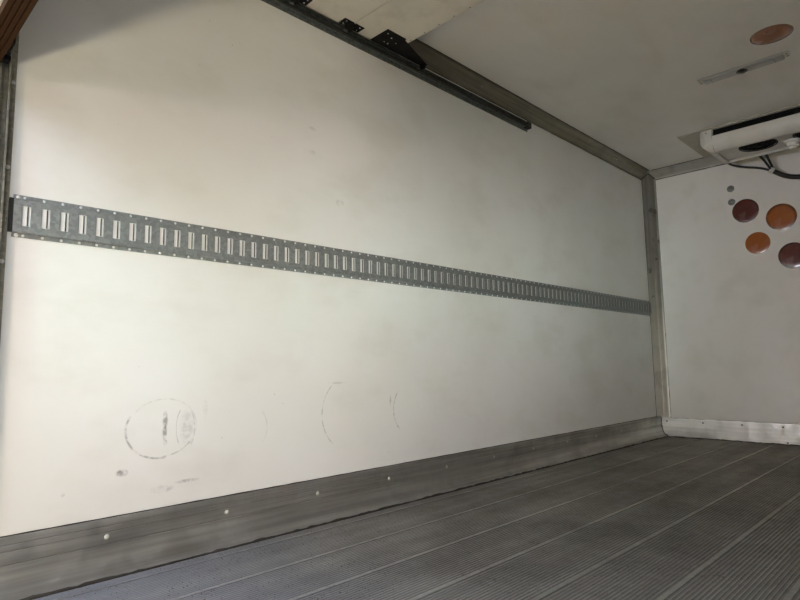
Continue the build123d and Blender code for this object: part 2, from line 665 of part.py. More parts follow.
def save_door():
    panels = []
    low = ROLLER_OFFSET
    mid = low + PANEL_THICK / 2
    edge = PANEL_GAP / 2
    for i in range(PANELS):
        panel = block(-half_panel, half_panel, edge, PANEL_PITCH - edge, low, low + PANEL_THICK)
        if i > 0:
            slot = TONGUE_THICK / 2 + TONGUE_CLEAR
            panel -= block(-half_panel - CUT, half_panel + CUT, 0, edge + TONGUE + TONGUE_CLEAR,
                           mid - slot, mid + slot)
        if i < PANELS - 1:
            panel += block(-half_panel, half_panel, PANEL_PITCH - PANEL_GAP, PANEL_PITCH + TONGUE,
                           mid - TONGUE_THICK / 2, mid + TONGUE_THICK / 2)
        panels.append(panel_plane(i) * panel)
    save("door_panels", *panels)

    seal_in = low + BOTTOM_SEAL_INSET
    seal_out = low + PANEL_THICK - BOTTOM_SEAL_INSET
    bottom = block(-half_panel, half_panel, edge - BOTTOM_SEAL, edge, seal_in, seal_out)
    for i in range(SEAL_GROOVES):
        z = seal_in + (seal_out - seal_in) * (i + 1) / (SEAL_GROOVES + 1)
        tip = edge - BOTTOM_SEAL
        bottom -= block(-half_panel - CUT, half_panel + CUT, tip - CUT, tip + SEAL_GROOVE,
                        z - SEAL_GROOVE_WIDTH / 2, z + SEAL_GROOVE_WIDTH / 2)
    save("door_bottom_seal", panel_plane(0) * bottom)

    z_head = z_deck + DOORWAY_HEIGHT
    strip = block(half_door, half_door + SEAL_WIDTH, y_post, y_post + POST_SEAL - CUT, z_deck, z_head)
    save("doorway_seals", *both_sides(strip))

    x_end = half_panel - HINGE_WIDTH / 2 - STEM_SEAT
    spread = [x_end * (2 * k / (HINGES - 1) - 1) for k in range(HINGES)]
    save("door_hinges", *[hinge(i, x) for i in range(1, PANELS) for x in spread])
    rollers = [roller_pair(joints[i]) for i in range(1, PANELS)]
    rollers.append(roller_pair(panel_plane(0).from_local_coords(Vector(0, FOOT_STEM, 0))))
    rollers.append(roller_pair(panel_plane(PANELS - 1).from_local_coords(Vector(0, ARM_STEM, 0))))
    save("door_rollers", *[wheel for pair in rollers for wheel in pair])
    save_door_brackets()

    face = low + PANEL_THICK
    plate = block(-LATCH_WIDTH / 2, LATCH_WIDTH / 2, LATCH_LOW, LATCH_LOW + LATCH_HEIGHT,
                  face, face + LATCH_PLATE)
    handle = block(-HANDLE_WIDTH / 2, HANDLE_WIDTH / 2, HANDLE_LOW, HANDLE_LOW + HANDLE_LENGTH,
                   face + LATCH_PLATE, face + LATCH_PLATE + HANDLE_THICK)
    save("door_latch", panel_plane(0) * (plate + handle))


def stem_seat(x0, y):
    """Block on a bracket that holds a roller's stem."""
    return block(x0, half_panel - STEM_SEAT, y - BARREL_RADIUS, y + BARREL_RADIUS,
                 -BARREL_RADIUS, ROLLER_OFFSET - HINGE_STEEL)


def save_door_brackets():
    """Plates on the lowest and the top panel that carry the end rollers."""
    face = ROLLER_OFFSET - HINGE_STEEL
    x = half_panel
    foot = block(x - FOOT_WIDTH, x, FOOT_LOW, FOOT_TOP, face, ROLLER_OFFSET)
    foot += stem_seat(x - FOOT_SEAT, FOOT_STEM)
    outline = Polyline((x, ARM_LOW), (x - ARM_WIDTH, ARM_LOW), (x - ARM_WIDTH, ARM_SHOULDER),
                       (x - ARM_WIDTH + ARM_BEVEL, ARM_SHOULDER + ARM_BEVEL / 2),
                       (x - ARM_TIP, ARM_REACH), (x, ARM_REACH), close=True)
    head = extrude(Pos(0, 0, face) * make_face(outline), amount=HINGE_STEEL, dir=(0, 0, 1))
    head += stem_seat(x - ARM_TIP, ARM_STEM)
    save("door_corner_brackets", *both_sides(panel_plane(0) * foot),
         *both_sides(panel_plane(PANELS - 1) * head))


def hinge(i, x):
    """Two leaves on neighbouring panels, bent in to a barrel on the roller line."""
    w = HINGE_WIDTH / 2
    s = HINGE_STEEL
    n = HINGE_NECK
    barrel = rod(BARREL_RADIUS, (x - w, joints[i].Y, joints[i].Z), (x + w, joints[i].Y, joints[i].Z))
    for plane, way in ((panel_plane(i - 1), -1), (panel_plane(i), 1)):
        base = PANEL_PITCH if way < 0 else 0
        near = base + way * HINGE_GAP
        bend = base + way * HINGE_BEND
        far = base + way * HINGE_LEAF
        section = Polyline((base, -n), (bend, ROLLER_OFFSET - s), (far, ROLLER_OFFSET - s),
                           (far, ROLLER_OFFSET), (near, ROLLER_OFFSET), (base, n), close=True)
        leaf = extrude(Pos(x - w, 0, 0) * (Plane.YZ * make_face(section)), amount=2 * w, dir=(1, 0, 0))
        barrel += plane * leaf
    return barrel


def roller_pair(point):
    """Track rollers on their stems, one at each side."""
    x0 = half_in - TRACK_SHEET - ROLLER_CLEAR
    wheel = rod(ROLLER_RADIUS, (x0 - ROLLER_WIDTH, point.Y, point.Z), (x0, point.Y, point.Z))
    wheel += rod(STEM_RADIUS, (half_panel - STEM_SEAT, point.Y, point.Z), (x0, point.Y, point.Z))
    return both_sides(wheel)


def save_counterbalance():
    y = y_line + SHAFT_Y
    z = z_deck + SHAFT_Z
    reach = half_door - SHAFT_SHORT
    shaft = rod(SHAFT_RADIUS, (-reach, y, z), (reach, y, z))
    for side in (-1, 1):
        x = side * (reach - DRUM_WIDTH)
        shaft += rod(DRUM_RADIUS, (x - DRUM_WIDTH / 2, y, z), (x + DRUM_WIDTH / 2, y, z))
    for x in (-reach + SHAFT_PLATE, 0, reach - SHAFT_PLATE):
        shaft += block(x - SHAFT_PLATE / 2, x + SHAFT_PLATE / 2, y_post, y + SHAFT_RADIUS + SHAFT_PLATE,
                       z - SHAFT_PLATE_HEIGHT / 2, z + SHAFT_PLATE_HEIGHT / 2)
    save("counterbalance_shaft", shaft)
    x0 = SPRING_APART / 2
    x1 = x0 + SPRING_LENGTH
    spring = rod(SPRING_RADIUS, (x0, y, z), (x1, y, z)) - rod(SHAFT_RADIUS, (x0, y, z), (x1, y, z))
    save("counterbalance_springs", *both_sides(spring))


def rotor(hub_radius, hub_height, tip, blades, chord, thickness):
    """Axial fan about Z, standing on the XY plane."""
    wheel = extrude(Circle(hub_radius), amount=hub_height)
    for i in range(blades):
        blade = Box(tip - hub_radius + BLADE_ROOT, chord, thickness)
        blade = Rot(BLADE_PITCH, 0, 0) * blade
        blade = Pos((tip + hub_radius - BLADE_ROOT) / 2, 0, hub_height / 2) * blade
        wheel += Rot(0, 0, i * 360 / blades) * blade
    wheel &= extrude(Circle(tip), amount=hub_height)
    wheel -= extrude(Circle(SHAFT + SHAFT_CLEAR), amount=hub_height)
    return wheel


def fan_guard(radius, hub, wire, depth, rings, spokes):
    """Round guard with rings and spokes, standing on the XY plane."""
    guard = extrude(Circle(radius) - Circle(radius - 2 * wire), amount=depth)
    guard += extrude(Circle(hub), amount=depth)
    for i in range(1, rings + 1):
        r = hub + (radius - hub) * i / (rings + 1)
        guard += extrude(Circle(r + wire / 2) - Circle(r - wire / 2), amount=depth)
    for i in range(spokes):
        bar = Box(radius - hub, wire, depth, align=(Align.MIN, Align.CENTER, Align.MIN))
        guard += Rot(0, 0, i * 360 / spokes) * (Pos(hub - wire / 2, 0, 0) * bar)
    return guard


y_evap = y_front - EVAP_FROM_WALL - EVAP_DEPTH


def evaporator_outline(grow, recess):
    """Side view of the housing, drawn in by grow."""
    y0 = y_evap + grow
    y1 = y_evap + EVAP_DEPTH - grow
    top = z_ceiling - PLATE_SHEET - grow
    low = z_ceiling - EVAP_HEIGHT + grow
    lip = low + recess
    bend = top - EVAP_FACE
    face = Polyline((y0 + EVAP_CURVE, low), (y0 + EVAP_LIP - EVAP_DRAFT, low), (y0 + EVAP_LIP, lip),
                    (y1 - EVAP_RIM - EVAP_DRAFT, lip), (y1 - EVAP_RIM, low), (y1 - EVAP_DRAFT, low),
                    (y1, low + EVAP_DRAFT), (y1, top), (y0 + EVAP_LEAN, top), (y0, bend))
    eighth = math.sqrt(0.5)
    middle = (y0 + EVAP_CURVE * (1 - eighth), bend - (bend - low) * eighth)
    nose = ThreePointArc((y0, bend), middle, (y0 + EVAP_CURVE, low))
    return make_face(face + nose)


def evaporator_end(x0):
    """Room for the housing's end, widest at the ceiling and round towards its lower edge."""
    wide = EVAP_WIDTH / 2 + EVAP_BULGE
    narrow = EVAP_WIDTH / 2
    low = z_ceiling - EVAP_HEIGHT
    eighth = math.sqrt(0.5)
    middle = (narrow + EVAP_BULGE * eighth, z_ceiling - EVAP_HEIGHT * eighth)
    side = ThreePointArc((narrow, low), middle, (wide, z_ceiling))
    front = make_face(Polyline((wide, z_ceiling), (x0, z_ceiling), (x0, low), (narrow, low)) + side)
    end = extrude(Pos(0, y_evap, 0) * (ALONG_Y * front), amount=EVAP_DEPTH, dir=(0, 1, 0))
    plan = block(x0, wide, y_evap, y_evap + EVAP_DEPTH, low, z_ceiling)
    plan = fillet(plan.edges().filter_by(Axis.Z).group_by(Axis.X)[-1].sort_by(Axis.Y)[0], EVAP_BULGE)
    return end & plan


def save_evaporator():
    plate_y1 = y_front - COVE_CEILING
    top = z_ceiling - PLATE_SHEET
    save("evaporator_plate", block(-PLATE_WIDTH / 2, PLATE_WIDTH / 2, plate_y1 - PLATE_LENGTH, plate_y1,
                                   top, z_ceiling))
    reach = EVAP_WIDTH / 2 - EVAP_CAP
    body = extrude(Pos(-reach, 0, 0) * (Plane.YZ * evaporator_outline(0, EVAP_RECESS)),
                   amount=2 * reach, dir=(1, 0, 0))
    body -= extrude(Pos(-reach, 0, 0) * (Plane.YZ * evaporator_outline(EVAP_SHELL, EVAP_RECESS)),
                    amount=2 * reach, dir=(1, 0, 0))
    cap = extrude(Pos(reach, 0, 0) * (Plane.YZ * evaporator_outline(0, 0)),
                  amount=EVAP_CAP + EVAP_BULGE, dir=(1, 0, 0))
    cap &= evaporator_end(reach)
    for piece in both_sides(cap):
        body += piece
    louvre_x = reach - LOUVRE_INSET
    louvre_top = top - EVAP_SHELL
    body -= block(-louvre_x, louvre_x, y_evap - CUT, y_evap + EVAP_LEAN + 2 * EVAP_SHELL,
                  louvre_top - LOUVRE_HEIGHT, louvre_top)

    z_under = z_ceiling - EVAP_HEIGHT + EVAP_RECESS
    y_fan = y_evap + EVAP_FAN_BACK
    y_lip = y_evap + EVAP_LIP + EVAP_SHELL
    behind_lip = block(-reach, reach, y_lip, y_evap + EVAP_DEPTH,
                       z_under - EVAP_RECESS, z_under + EVAP_RECESS)
    fans = [-EVAP_FAN_SPACING / 2, EVAP_FAN_SPACING / 2]
    for x in fans:
        body -= Pos(x, y_fan, z_under) * Cylinder(EVAP_FAN_HOLE, 4 * EVAP_SHELL) & behind_lip
    y_drain = y_evap + DRAIN_BACK
    z_spout = z_under - DRAIN_DROP
    body += rod(DRAIN_RADIUS, (0, y_drain, z_under), (0, y_drain, z_spout))
    body += rod(SPOUT_RADIUS, (0, y_drain, z_spout), (0, y_drain, z_spout - SPOUT_DROP))
    save("evaporator_housing", body)

    slats = []
    pitch = LOUVRE_HEIGHT / LOUVRE_SLATS
    for i in range(LOUVRE_SLATS):
        z = louvre_top - pitch * (i + 0.5)
        y = y_evap + EVAP_SHELL + EVAP_LEAN * (z - top + EVAP_FACE) / EVAP_FACE
        slats.append(block(-louvre_x, louvre_x, y, y + SLAT_DEPTH, z - SLAT_SHEET / 2, z + SLAT_SHEET / 2))
    save("evaporator_louvre", *slats)

    fan_low = z_under + EVAP_SHELL + FAN_CLEAR
    roof = top - EVAP_SHELL
    motors = []
    for name, x in zip(["evaporator_fan_left", "evaporator_fan_right"], fans):
        save(name, Pos(x, y_fan, fan_low) * rotor(EVAP_HUB, EVAP_HUB_HEIGHT, EVAP_FAN_RADIUS,
                                                  EVAP_BLADES, EVAP_CHORD, BLADE_SHEET))
        case_low = fan_low + EVAP_HUB_HEIGHT + MOTOR_CLEAR
        motors.append(rod(SHAFT, (x, y_fan, fan_low), (x, y_fan, roof))
                      + rod(EVAP_MOTOR, (x, y_fan, case_low), (x, y_fan, roof)))
    save("evaporator_fan_motors", *motors)
    guard = fan_guard(EVAP_FAN_HOLE + GUARD_LAP, EVAP_GUARD_HUB, GUARD_WIRE, GUARD_WIRE,
                      EVAP_GUARD_RINGS, EVAP_GUARD_SPOKES)
    save("evaporator_fan_guards", *[(Pos(x, y_fan, z_under - GUARD_WIRE) * guard) & behind_lip for x in fans])


def save_condenser():
    z1 = z_ceiling - RAIL_LAP - COND_DROP
    z0 = z1 - COND_HEIGHT
    y1 = y_nose + COND_DEPTH

    def outline(inset):
        """Side view of the housing, drawn in by inset."""
        a = y_nose + inset
        b = y1 - inset
        low = z0 + inset
        high = z1 - inset
        r = COND_RADIUS - inset
        line = Polyline((b - r, high), (a, high), (a, low), (b - r, low))
        lower = RadiusArc((b - r, low), (b, low + r), -r)
        face = Line((b, low + r), (b, high - r))
        upper = RadiusArc((b, high - r), (b - r, high), -r)
        return make_face(line + lower + face + upper)

    reach = COND_WIDTH / 2
    inner = reach - COND_SHELL
    shell = extrude(Pos(-reach, 0, 0) * (Plane.YZ * outline(0)), amount=2 * reach, dir=(1, 0, 0))
    shell -= extrude(Pos(-inner, 0, 0) * (Plane.YZ * outline(COND_SHELL)), amount=2 * inner, dir=(1, 0, 0))
    z_mid = (z0 + z1) / 2
    fans = [-COND_FAN_SPACING / 2, COND_FAN_SPACING / 2]
    for x in fans:
        shell -= rod(COND_FAN_HOLE, (x, y1 - 2 * COND_SHELL, z_mid), (x, y1 + CUT, z_mid))
    y_slot = y_nose + COND_SLOT_FROM_NOSE
    slots = []
    for i in range(COND_SLOTS):
        z = z_mid + (i - (COND_SLOTS - 1) / 2) * COND_SLOT_PITCH
        slots += both_sides(block(inner - CUT, reach + CUT, y_slot, y_slot + COND_SLOT_LENGTH,
                                  z - COND_SLOT_WIDTH / 2, z + COND_SLOT_WIDTH / 2))
    save("condenser_housing", shell - slots)

    facing = Plane(origin=(0, y1, z_mid), x_dir=(1, 0, 0), z_dir=(0, 1, 0))
    guard = fan_guard(COND_FAN_HOLE + GUARD_LAP, COND_GUARD_HUB, GUARD_WIRE, COND_GUARD,
                      COND_GUARD_RINGS, COND_GUARD_SPOKES)
    save("condenser_fan_guards", *[facing * (Pos(x, 0, 0) * guard) for x in fans])

    back = y_nose + COND_SHELL
    coil_face = back + COND_COIL
    save("condenser_coil", block(-inner + COIL_INSET, inner - COIL_INSET, back, coil_face,
                                 z0 + 2 * COIL_INSET, z1 - 2 * COIL_INSET))

    fan_front = y1 - COND_SHELL - FAN_CLEAR
    fan_back = fan_front - COND_HUB_HEIGHT
    motors = []
    for name, x in zip(["condenser_fan_left", "condenser_fan_right"], fans):
        plane = Plane(origin=(x, fan_back, z_mid), x_dir=(1, 0, 0), z_dir=(0, 1, 0))
        save(name, plane * rotor(COND_HUB, COND_HUB_HEIGHT, COND_FAN_RADIUS,
                                 COND_BLADES, COND_CHORD, BLADE_SHEET))
        motors.append(rod(COND_MOTOR, (x, coil_face, z_mid), (x, fan_back - MOTOR_CLEAR, z_mid))
                      + rod(SHAFT, (x, coil_face, z_mid), (x, fan_front, z_mid)))
    save("condenser_fan_motors", *motors)


def save_lamp():
    y = y_front - LAMP_FROM_WALL
    body = block(-LAMP_LENGTH / 2, LAMP_LENGTH / 2, y - LAMP_WIDTH / 2, y + LAMP_WIDTH / 2,
                 z_ceiling - LAMP_HEIGHT, z_ceiling)
    body = chamfer(body.faces().sort_by(Axis.Z)[0].edges(), LAMP_CHAMFER)
    reach = LAMP_LENGTH / 2 + LAMP_TAB
    body += block(-reach, reach, y - LAMP_TAB_WIDTH / 2, y + LAMP_TAB_WIDTH / 2,
                  z_ceiling - LAMP_TAB_HEIGHT, z_ceiling)
    save("ceiling_lamp", body)
    lens = extrude(Plane(origin=(0, y, z_ceiling - LAMP_HEIGHT), z_dir=(0, 0, -1))
                   * SlotOverall(LENS_LENGTH, LENS_WIDTH), amount=LENS_HEIGHT)
    save("ceiling_lamp_lens", lens)


def cord(name, points, diameter):
    """Tube along straight runs joined by arcs as large as the runs allow."""
    route = [Vector(*p) for p in points]
    radii = []
    for a, b, c in zip(route, route[1:], route[2:]):
        turn = math.radians((b - a).get_angle(c - b))
        radii.append(ARC_SHARE * min((b - a).length, (c - b).length) / math.tan(turn / 2))
    path = FilletPolyline(*route, radius=radii)
    section = Plane(origin=route[0], z_dir=route[1] - route[0]) * Circle(diameter / 2)
    tube = sweep(section, path=path)
    ratio = tube.volume / (math.pi * diameter ** 2 / 4 * path.length)
    print(f"{name}: length {path.length:.0f}, radii {[round(r) for r in radii]}, volume ratio {ratio:.3f}")
    save(name, tube)


# Routes from the middle of the front wall's inner face, at the ceiling
HOSE_ROUTES = {
    "drain_hose": [(-424, -271, -150), (-424, -229, -150), (-410, -188, -156), (-382, -157, -166),
                   (-330, -125, -178), (-271, -112, -192), (-210, -109, -218), (-176, -103, -241)],
    "suction_hose": [(-222, -271, -138), (-222, -218, -138), (-207, -169, -161), (-187, -136, -204),
                     (-172, -121, -241)],
    "liquid_hose": [(-178, -271, -138), (-178, -223, -138), (-179, -175, -154), (-172, -134, -188),
                    (-163, -109, -230)],
}
BUNDLE_ROUTE = [(-158, -108, -250), (-115, -103, -286), (-62, -97, -313), (-2, -91, -327),
                (59, -80, -328), (115, -59, -321), (159, -29, -312)]


def at_wall(points):
    """Points of a route in the body's own frame."""
    return [(x, y_front + y, z_ceiling + z) for x, y, z in points]


def beyond(points, distance):
    """Point that far past a route's last point, along its last run."""
    last = Vector(*points[-1])
    return last + (last - Vector(*points[-2])).normalized() * distance


def save_hoses():
    glands = []
    for name, route in HOSE_ROUTES.items():
        points = at_wall(route)
        cord(name, points, HOSE)
        start = Vector(*points[0])
        back = start - Vector(0, HOSE_GLAND, 0)
        glands.append(rod(GLAND_RADIUS, tuple(back), tuple(start)))
    bundle = at_wall(BUNDLE_ROUTE)
    cord("hose_bundle", bundle, BUNDLE)
    tie_back = beyond(bundle[1::-1], TIE_LENGTH)
    save("hose_tie", rod(TIE_RADIUS, tuple(tie_back), bundle[0]))

    end = Vector(*bundle[-1])
    far = beyond(bundle, BOOT_REACH)
    boot = rod(BOOT_RADIUS, tuple(end), tuple(far))
    boot &= block(0, half_in, y_front - LOAD_LENGTH, y_front, z_deck, z_ceiling)
    at_face = end + (far - end) * ((y_front - end.Y) / (far.Y - end.Y))
    flange = Plane(origin=at_face, z_dir=(0, -1, 0)) * Circle(BOOT_FLANGE)
    boot += extrude(flange, amount=BOOT_SHEET)
    save("hose_glands", *glands, boot)


save_walls()
save_deck()
save_underframe()
save_outer_rails()
save_rear_frame()
save_trims()
save_cargo_rails()
save_door_track()
save_door()
save_counterbalance()
save_evaporator()
save_condenser()
save_lamp()
save_hoses()
print(f"rear {y_rear:.1f}, line {y_line:.1f}, front {y_front:.1f}, nose {y_nose:.1f}, "
      f"deck {z_deck:.2f}, ceiling {z_ceiling:.2f}, roof {z_roof:.2f}")
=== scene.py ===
"""Refrigerated truck box body: finishes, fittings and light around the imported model, in metres.

X points to the right-hand side of the road, Y to the front and Z up, as in the part's source.
"""
import random
from math import cos, pi, radians, sin

import bmesh
import bpy
from mathutils import Matrix, Vector


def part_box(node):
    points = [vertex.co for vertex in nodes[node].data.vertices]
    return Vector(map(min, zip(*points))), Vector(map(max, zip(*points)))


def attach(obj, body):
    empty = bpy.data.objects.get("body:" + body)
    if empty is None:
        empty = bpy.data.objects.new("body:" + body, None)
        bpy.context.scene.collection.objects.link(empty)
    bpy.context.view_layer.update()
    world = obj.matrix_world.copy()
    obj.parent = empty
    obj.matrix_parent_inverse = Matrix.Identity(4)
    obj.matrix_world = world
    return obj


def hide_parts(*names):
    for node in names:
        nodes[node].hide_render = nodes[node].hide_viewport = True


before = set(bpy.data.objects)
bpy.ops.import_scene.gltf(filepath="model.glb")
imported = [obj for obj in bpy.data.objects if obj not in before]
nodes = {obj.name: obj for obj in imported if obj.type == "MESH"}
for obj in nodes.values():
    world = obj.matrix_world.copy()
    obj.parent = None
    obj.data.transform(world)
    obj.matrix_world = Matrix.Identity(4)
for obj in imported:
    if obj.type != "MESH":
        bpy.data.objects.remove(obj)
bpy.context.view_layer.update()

chance = random.Random(7)

BODY = "box_body"
SIDES = (-1, 1)
LEFT, RIGHT = (-1, 0, 0), (1, 0, 0)
REAR, FRONT = (0, -1, 0), (0, 1, 0)
DOWN, UP = (0, 0, -1), (0, 0, 1)

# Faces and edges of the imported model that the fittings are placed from
wall_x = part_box("front_wall")[1].x
rear_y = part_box("rear_posts")[0].y
front_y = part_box("front_wall")[0].y
deck_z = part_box("floor_deck")[1].z
ceiling_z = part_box("roof_panel")[0].z
line_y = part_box("scuff_liners")[0].y - 0.049    # the door's roller line
mark_y = line_y + 0.019                         # where distances along the walls are counted from

# Camera of the photograph, fitted to the load space's known sizes
EYE = (0.8184, -2.8788, 0.9091)
EYE_TURN = 44.667          # degrees left of straight ahead
EYE_TILT = 6.459           # degrees up
EYE_ROLL = -0.891
EYE_LENS = 26.205          # millimetres, for a film width of 36


def put(name, data):
    """Object in the scene, from its data."""
    thing = bpy.data.objects.new(name, data)
    bpy.context.scene.collection.objects.link(thing)
    return thing


def make_camera():
    camera = bpy.data.cameras.new("camera")
    camera.sensor_width = 36
    camera.lens = EYE_LENS
    camera.clip_start = 0.02
    camera.clip_end = 200
    holder = put("camera", camera)
    stand = Matrix.Translation(EYE)
    for angle, axis in ((EYE_TURN, "Z"), (90 + EYE_TILT, "X"), (EYE_ROLL, "Z")):
        stand = stand @ Matrix.Rotation(radians(angle), 4, axis)
    holder.matrix_world = stand
    bpy.context.scene.camera = holder


# Hoses: diameter, length and route, from the middle of the front wall's inner face at the ceiling
HOSES = {
    "drain_hose": (0.017, 0.359, [
        (-0.424, -0.271, -0.150), (-0.424, -0.229, -0.150), (-0.410, -0.188, -0.156), (-0.382, -0.157, -0.166),
        (-0.330, -0.125, -0.178), (-0.271, -0.112, -0.192), (-0.210, -0.109, -0.218),
        (-0.176, -0.103, -0.241)]),
    "suction_hose": (0.017, 0.207, [
        (-0.222, -0.271, -0.138), (-0.222, -0.218, -0.138), (-0.207, -0.169, -0.161), (-0.187, -0.136, -0.204),
        (-0.172, -0.121, -0.241)]),
    "liquid_hose": (0.017, 0.201, [
        (-0.178, -0.271, -0.138), (-0.178, -0.223, -0.138), (-0.179, -0.175, -0.154), (-0.172, -0.134, -0.188),
        (-0.163, -0.109, -0.230)]),
    "hose_bundle": (0.036, 0.353, [
        (-0.158, -0.108, -0.250), (-0.115, -0.103, -0.286), (-0.062, -0.097, -0.313), (-0.002, -0.091, -0.327),
        (0.059, -0.080, -0.328), (0.115, -0.059, -0.321), (0.159, -0.029, -0.312)]),
}


def make_hoses(rubber):
    for name, (diameter, length, route) in HOSES.items():
        points = [Vector((x, front_y + y, ceiling_z + z)) for x, y, z in route]
        curve = bpy.data.curves.new(name + "_line", "CURVE")
        curve.dimensions = "3D"
        spline = curve.splines.new("NURBS")
        spline.points.add(len(points) - 1)
        for place, point in zip(spline.points, points):
            place.co = (*point, 1)
        spline.order_u = 3
        spline.use_endpoint_u = True
        spline.resolution_u = 8
        curve.bevel_depth = diameter / 2
        curve.bevel_resolution = 6
        curve.use_fill_caps = True
        curve.materials.append(rubber)
        hose = put(name + "_rubber", curve)
        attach(hose, BODY)
        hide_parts(name)
        tuple(points[0])


def join(tree, value, socket):
    """Link an output to an input, or set a plain value; colours have three numbers."""
    if isinstance(value, bpy.types.NodeSocket):
        tree.links.new(value, socket)
    else:
        socket.default_value = (*value, 1.0) if socket.type == "RGBA" else value


def add(tree, kind, inputs=(), **settings):
    """Shader node with its settings and inputs."""
    node = tree.nodes.new("ShaderNode" + kind)
    for key, value in settings.items():
        setattr(node, key, value)
    for socket, value in dict(inputs).items():
        join(tree, value, node.inputs[socket])
    return node


class Look:
    """Node material under construction."""

    def __init__(self, name):
        self.material = bpy.data.materials.new(name)
        self.material.use_nodes = True
        self.tree = self.material.node_tree
        self.place = self.add("TexCoord").outputs["Object"]

    def add(self, kind, inputs=(), **settings):
        return add(self.tree, kind, inputs, **settings)

    def noise(self, scale, detail=4.0, stretch=None):
        """Noise, in streaks where its coordinates are scaled along each axis."""
        place = self.place
        if stretch:
            place = self.add("Mapping", {"Vector": place, "Scale": stretch}).outputs["Vector"]
        inputs = {"Vector": place, "Scale": scale, "Detail": detail, "Roughness": 0.55}
        return self.add("TexNoise", inputs).outputs["Fac"]

    def cells(self, scale):
        return self.add("TexVoronoi", {"Vector": self.place, "Scale": scale}).outputs

    def span(self, value, low, high, new_low=0.0, new_high=1.0):
        """Value carried smoothly from one range to another, and held at its ends."""
        inputs = {"Value": value, "From Min": low, "From Max": high, "To Min": new_low, "To Max": new_high}
        return self.add("MapRange", inputs, interpolation_type="SMOOTHSTEP").outputs["Result"]

    def patches(self, scale, detail, low, high, new_low=0.0, new_high=1.0, stretch=None):
        """Noise, carried from one range to another."""
        return self.span(self.noise(scale, detail, stretch), low, high, new_low, new_high)

    def sum(self, kind, a, b=0.0, clamp=False):
        return self.add("Math", {0: a, 1: b}, operation=kind, use_clamp=clamp).outputs[0]

    def times(self, a, b, clamp=False):
        return self.sum("MULTIPLY", a, b, clamp)

    def squares(self, first, *others):
        """Squares of some values, added up."""
        total = self.times(first, first)
        for value in others:
            total = self.sum("ADD", total, self.times(value, value))
        return total

    def mix(self, share, a, b):
        return self.add("Mix", {"Factor": share, "A": a, "B": b}, data_type="RGBA").outputs["Result"]

    def axis(self, name):
        return self.add("SeparateXYZ", {0: self.place}).outputs[name]

    def bump(self, height, distance, strength=1.0, under=None):
        inputs = {"Height": height, "Distance": distance, "Strength": strength}
        if under:
            inputs["Normal"] = under
        return self.add("Bump", inputs).outputs["Normal"]

    def round_edges(self, radius):
        return self.add("Bevel", {"Radius": radius}, samples=4).outputs["Normal"]

    def finish(self, base, rough=0.5, metal=0.0, normal=None, **rest):
        """Set the shader's own inputs, and give the material."""
        values = {"Base Color": base, "Roughness": rough, "Metallic": metal}
        if normal:
            values["Normal"] = normal
        values |= {name.replace("_", " "): value for name, value in rest.items()}
        for name, value in values.items():
            join(self.tree, value, self.tree.nodes["Principled BSDF"].inputs[name])
        return self.material


def fibreglass():
    """White gel-coat, yellowed in clouds, with scuffs and specks of dirt; plainer on the outside."""
    look = Look("fibreglass")
    base = look.mix(look.patches(0.9, 3.0, 0.35, 0.70), (0.80, 0.785, 0.760), (0.75, 0.722, 0.678))
    film = look.patches(5.0, 6.0, 0.45, 0.75, 0.0, 0.35, stretch=(1, 0.5, 1))
    base = look.mix(film, base, (0.60, 0.57, 0.50))
    outside = 0.0
    for way, inner in (("X", wall_x), ("Y", front_y), ("Z", ceiling_z)):
        reach = look.axis(way)
        if way == "X":
            reach = look.sum("ABSOLUTE", reach)
        outside = look.sum("MAXIMUM", outside, look.span(reach, inner + 0.010, inner + 0.020))
    base = look.mix(look.times(outside, 0.75), base, (0.76, 0.76, 0.75))
    specks = look.span(look.cells(26.0)["Distance"], 0.035, 0.065, 1.0, 0.0)
    sparse = look.patches(3.1, 2.0, 0.56, 0.66)
    base = look.mix(look.times(specks, sparse), base, (0.34, 0.31, 0.27))
    base = look.mix(scuffs(look), base, (0.22, 0.205, 0.19))
    peel = look.bump(look.noise(160.0, 2.0), 0.0004, 0.25)
    normal = look.bump(look.noise(2.2, 2.0), 0.002, 0.5, under=peel)
    return look.finish(base, look.patches(7.0, 4.0, 0.3, 0.7, 0.34, 0.50), normal=normal)


# Rubbed marks on the left wall. Bows: middle ahead of mark_y and above the deck, radii along both,
# width, direction of the bow's middle and its half angle in degrees, strength
SCUFF_BOWS = [
    (0.487, 0.428, 0.118, 0.098, 0.0065, 215, 62, 0.62), (0.487, 0.428, 0.120, 0.094, 0.0050, 300, 30, 0.45),
    (0.490, 0.430, 0.118, 0.096, 0.0040, 10, 75, 0.22), (0.490, 0.432, 0.112, 0.092, 0.0035, 105, 40, 0.25),
    (0.560, 0.425, 0.024, 0.064, 0.0050, 175, 60, 0.40), (0.580, 0.420, 0.022, 0.060, 0.0050, 0, 70, 0.40),
    (1.330, 0.425, 0.170, 0.165, 0.0042, 180, 48, 0.55), (1.700, 0.420, 0.120, 0.125, 0.0060, 180, 46, 0.52),
    (0.820, 0.400, 0.075, 0.085, 0.0045, 0, 45, 0.24),
]
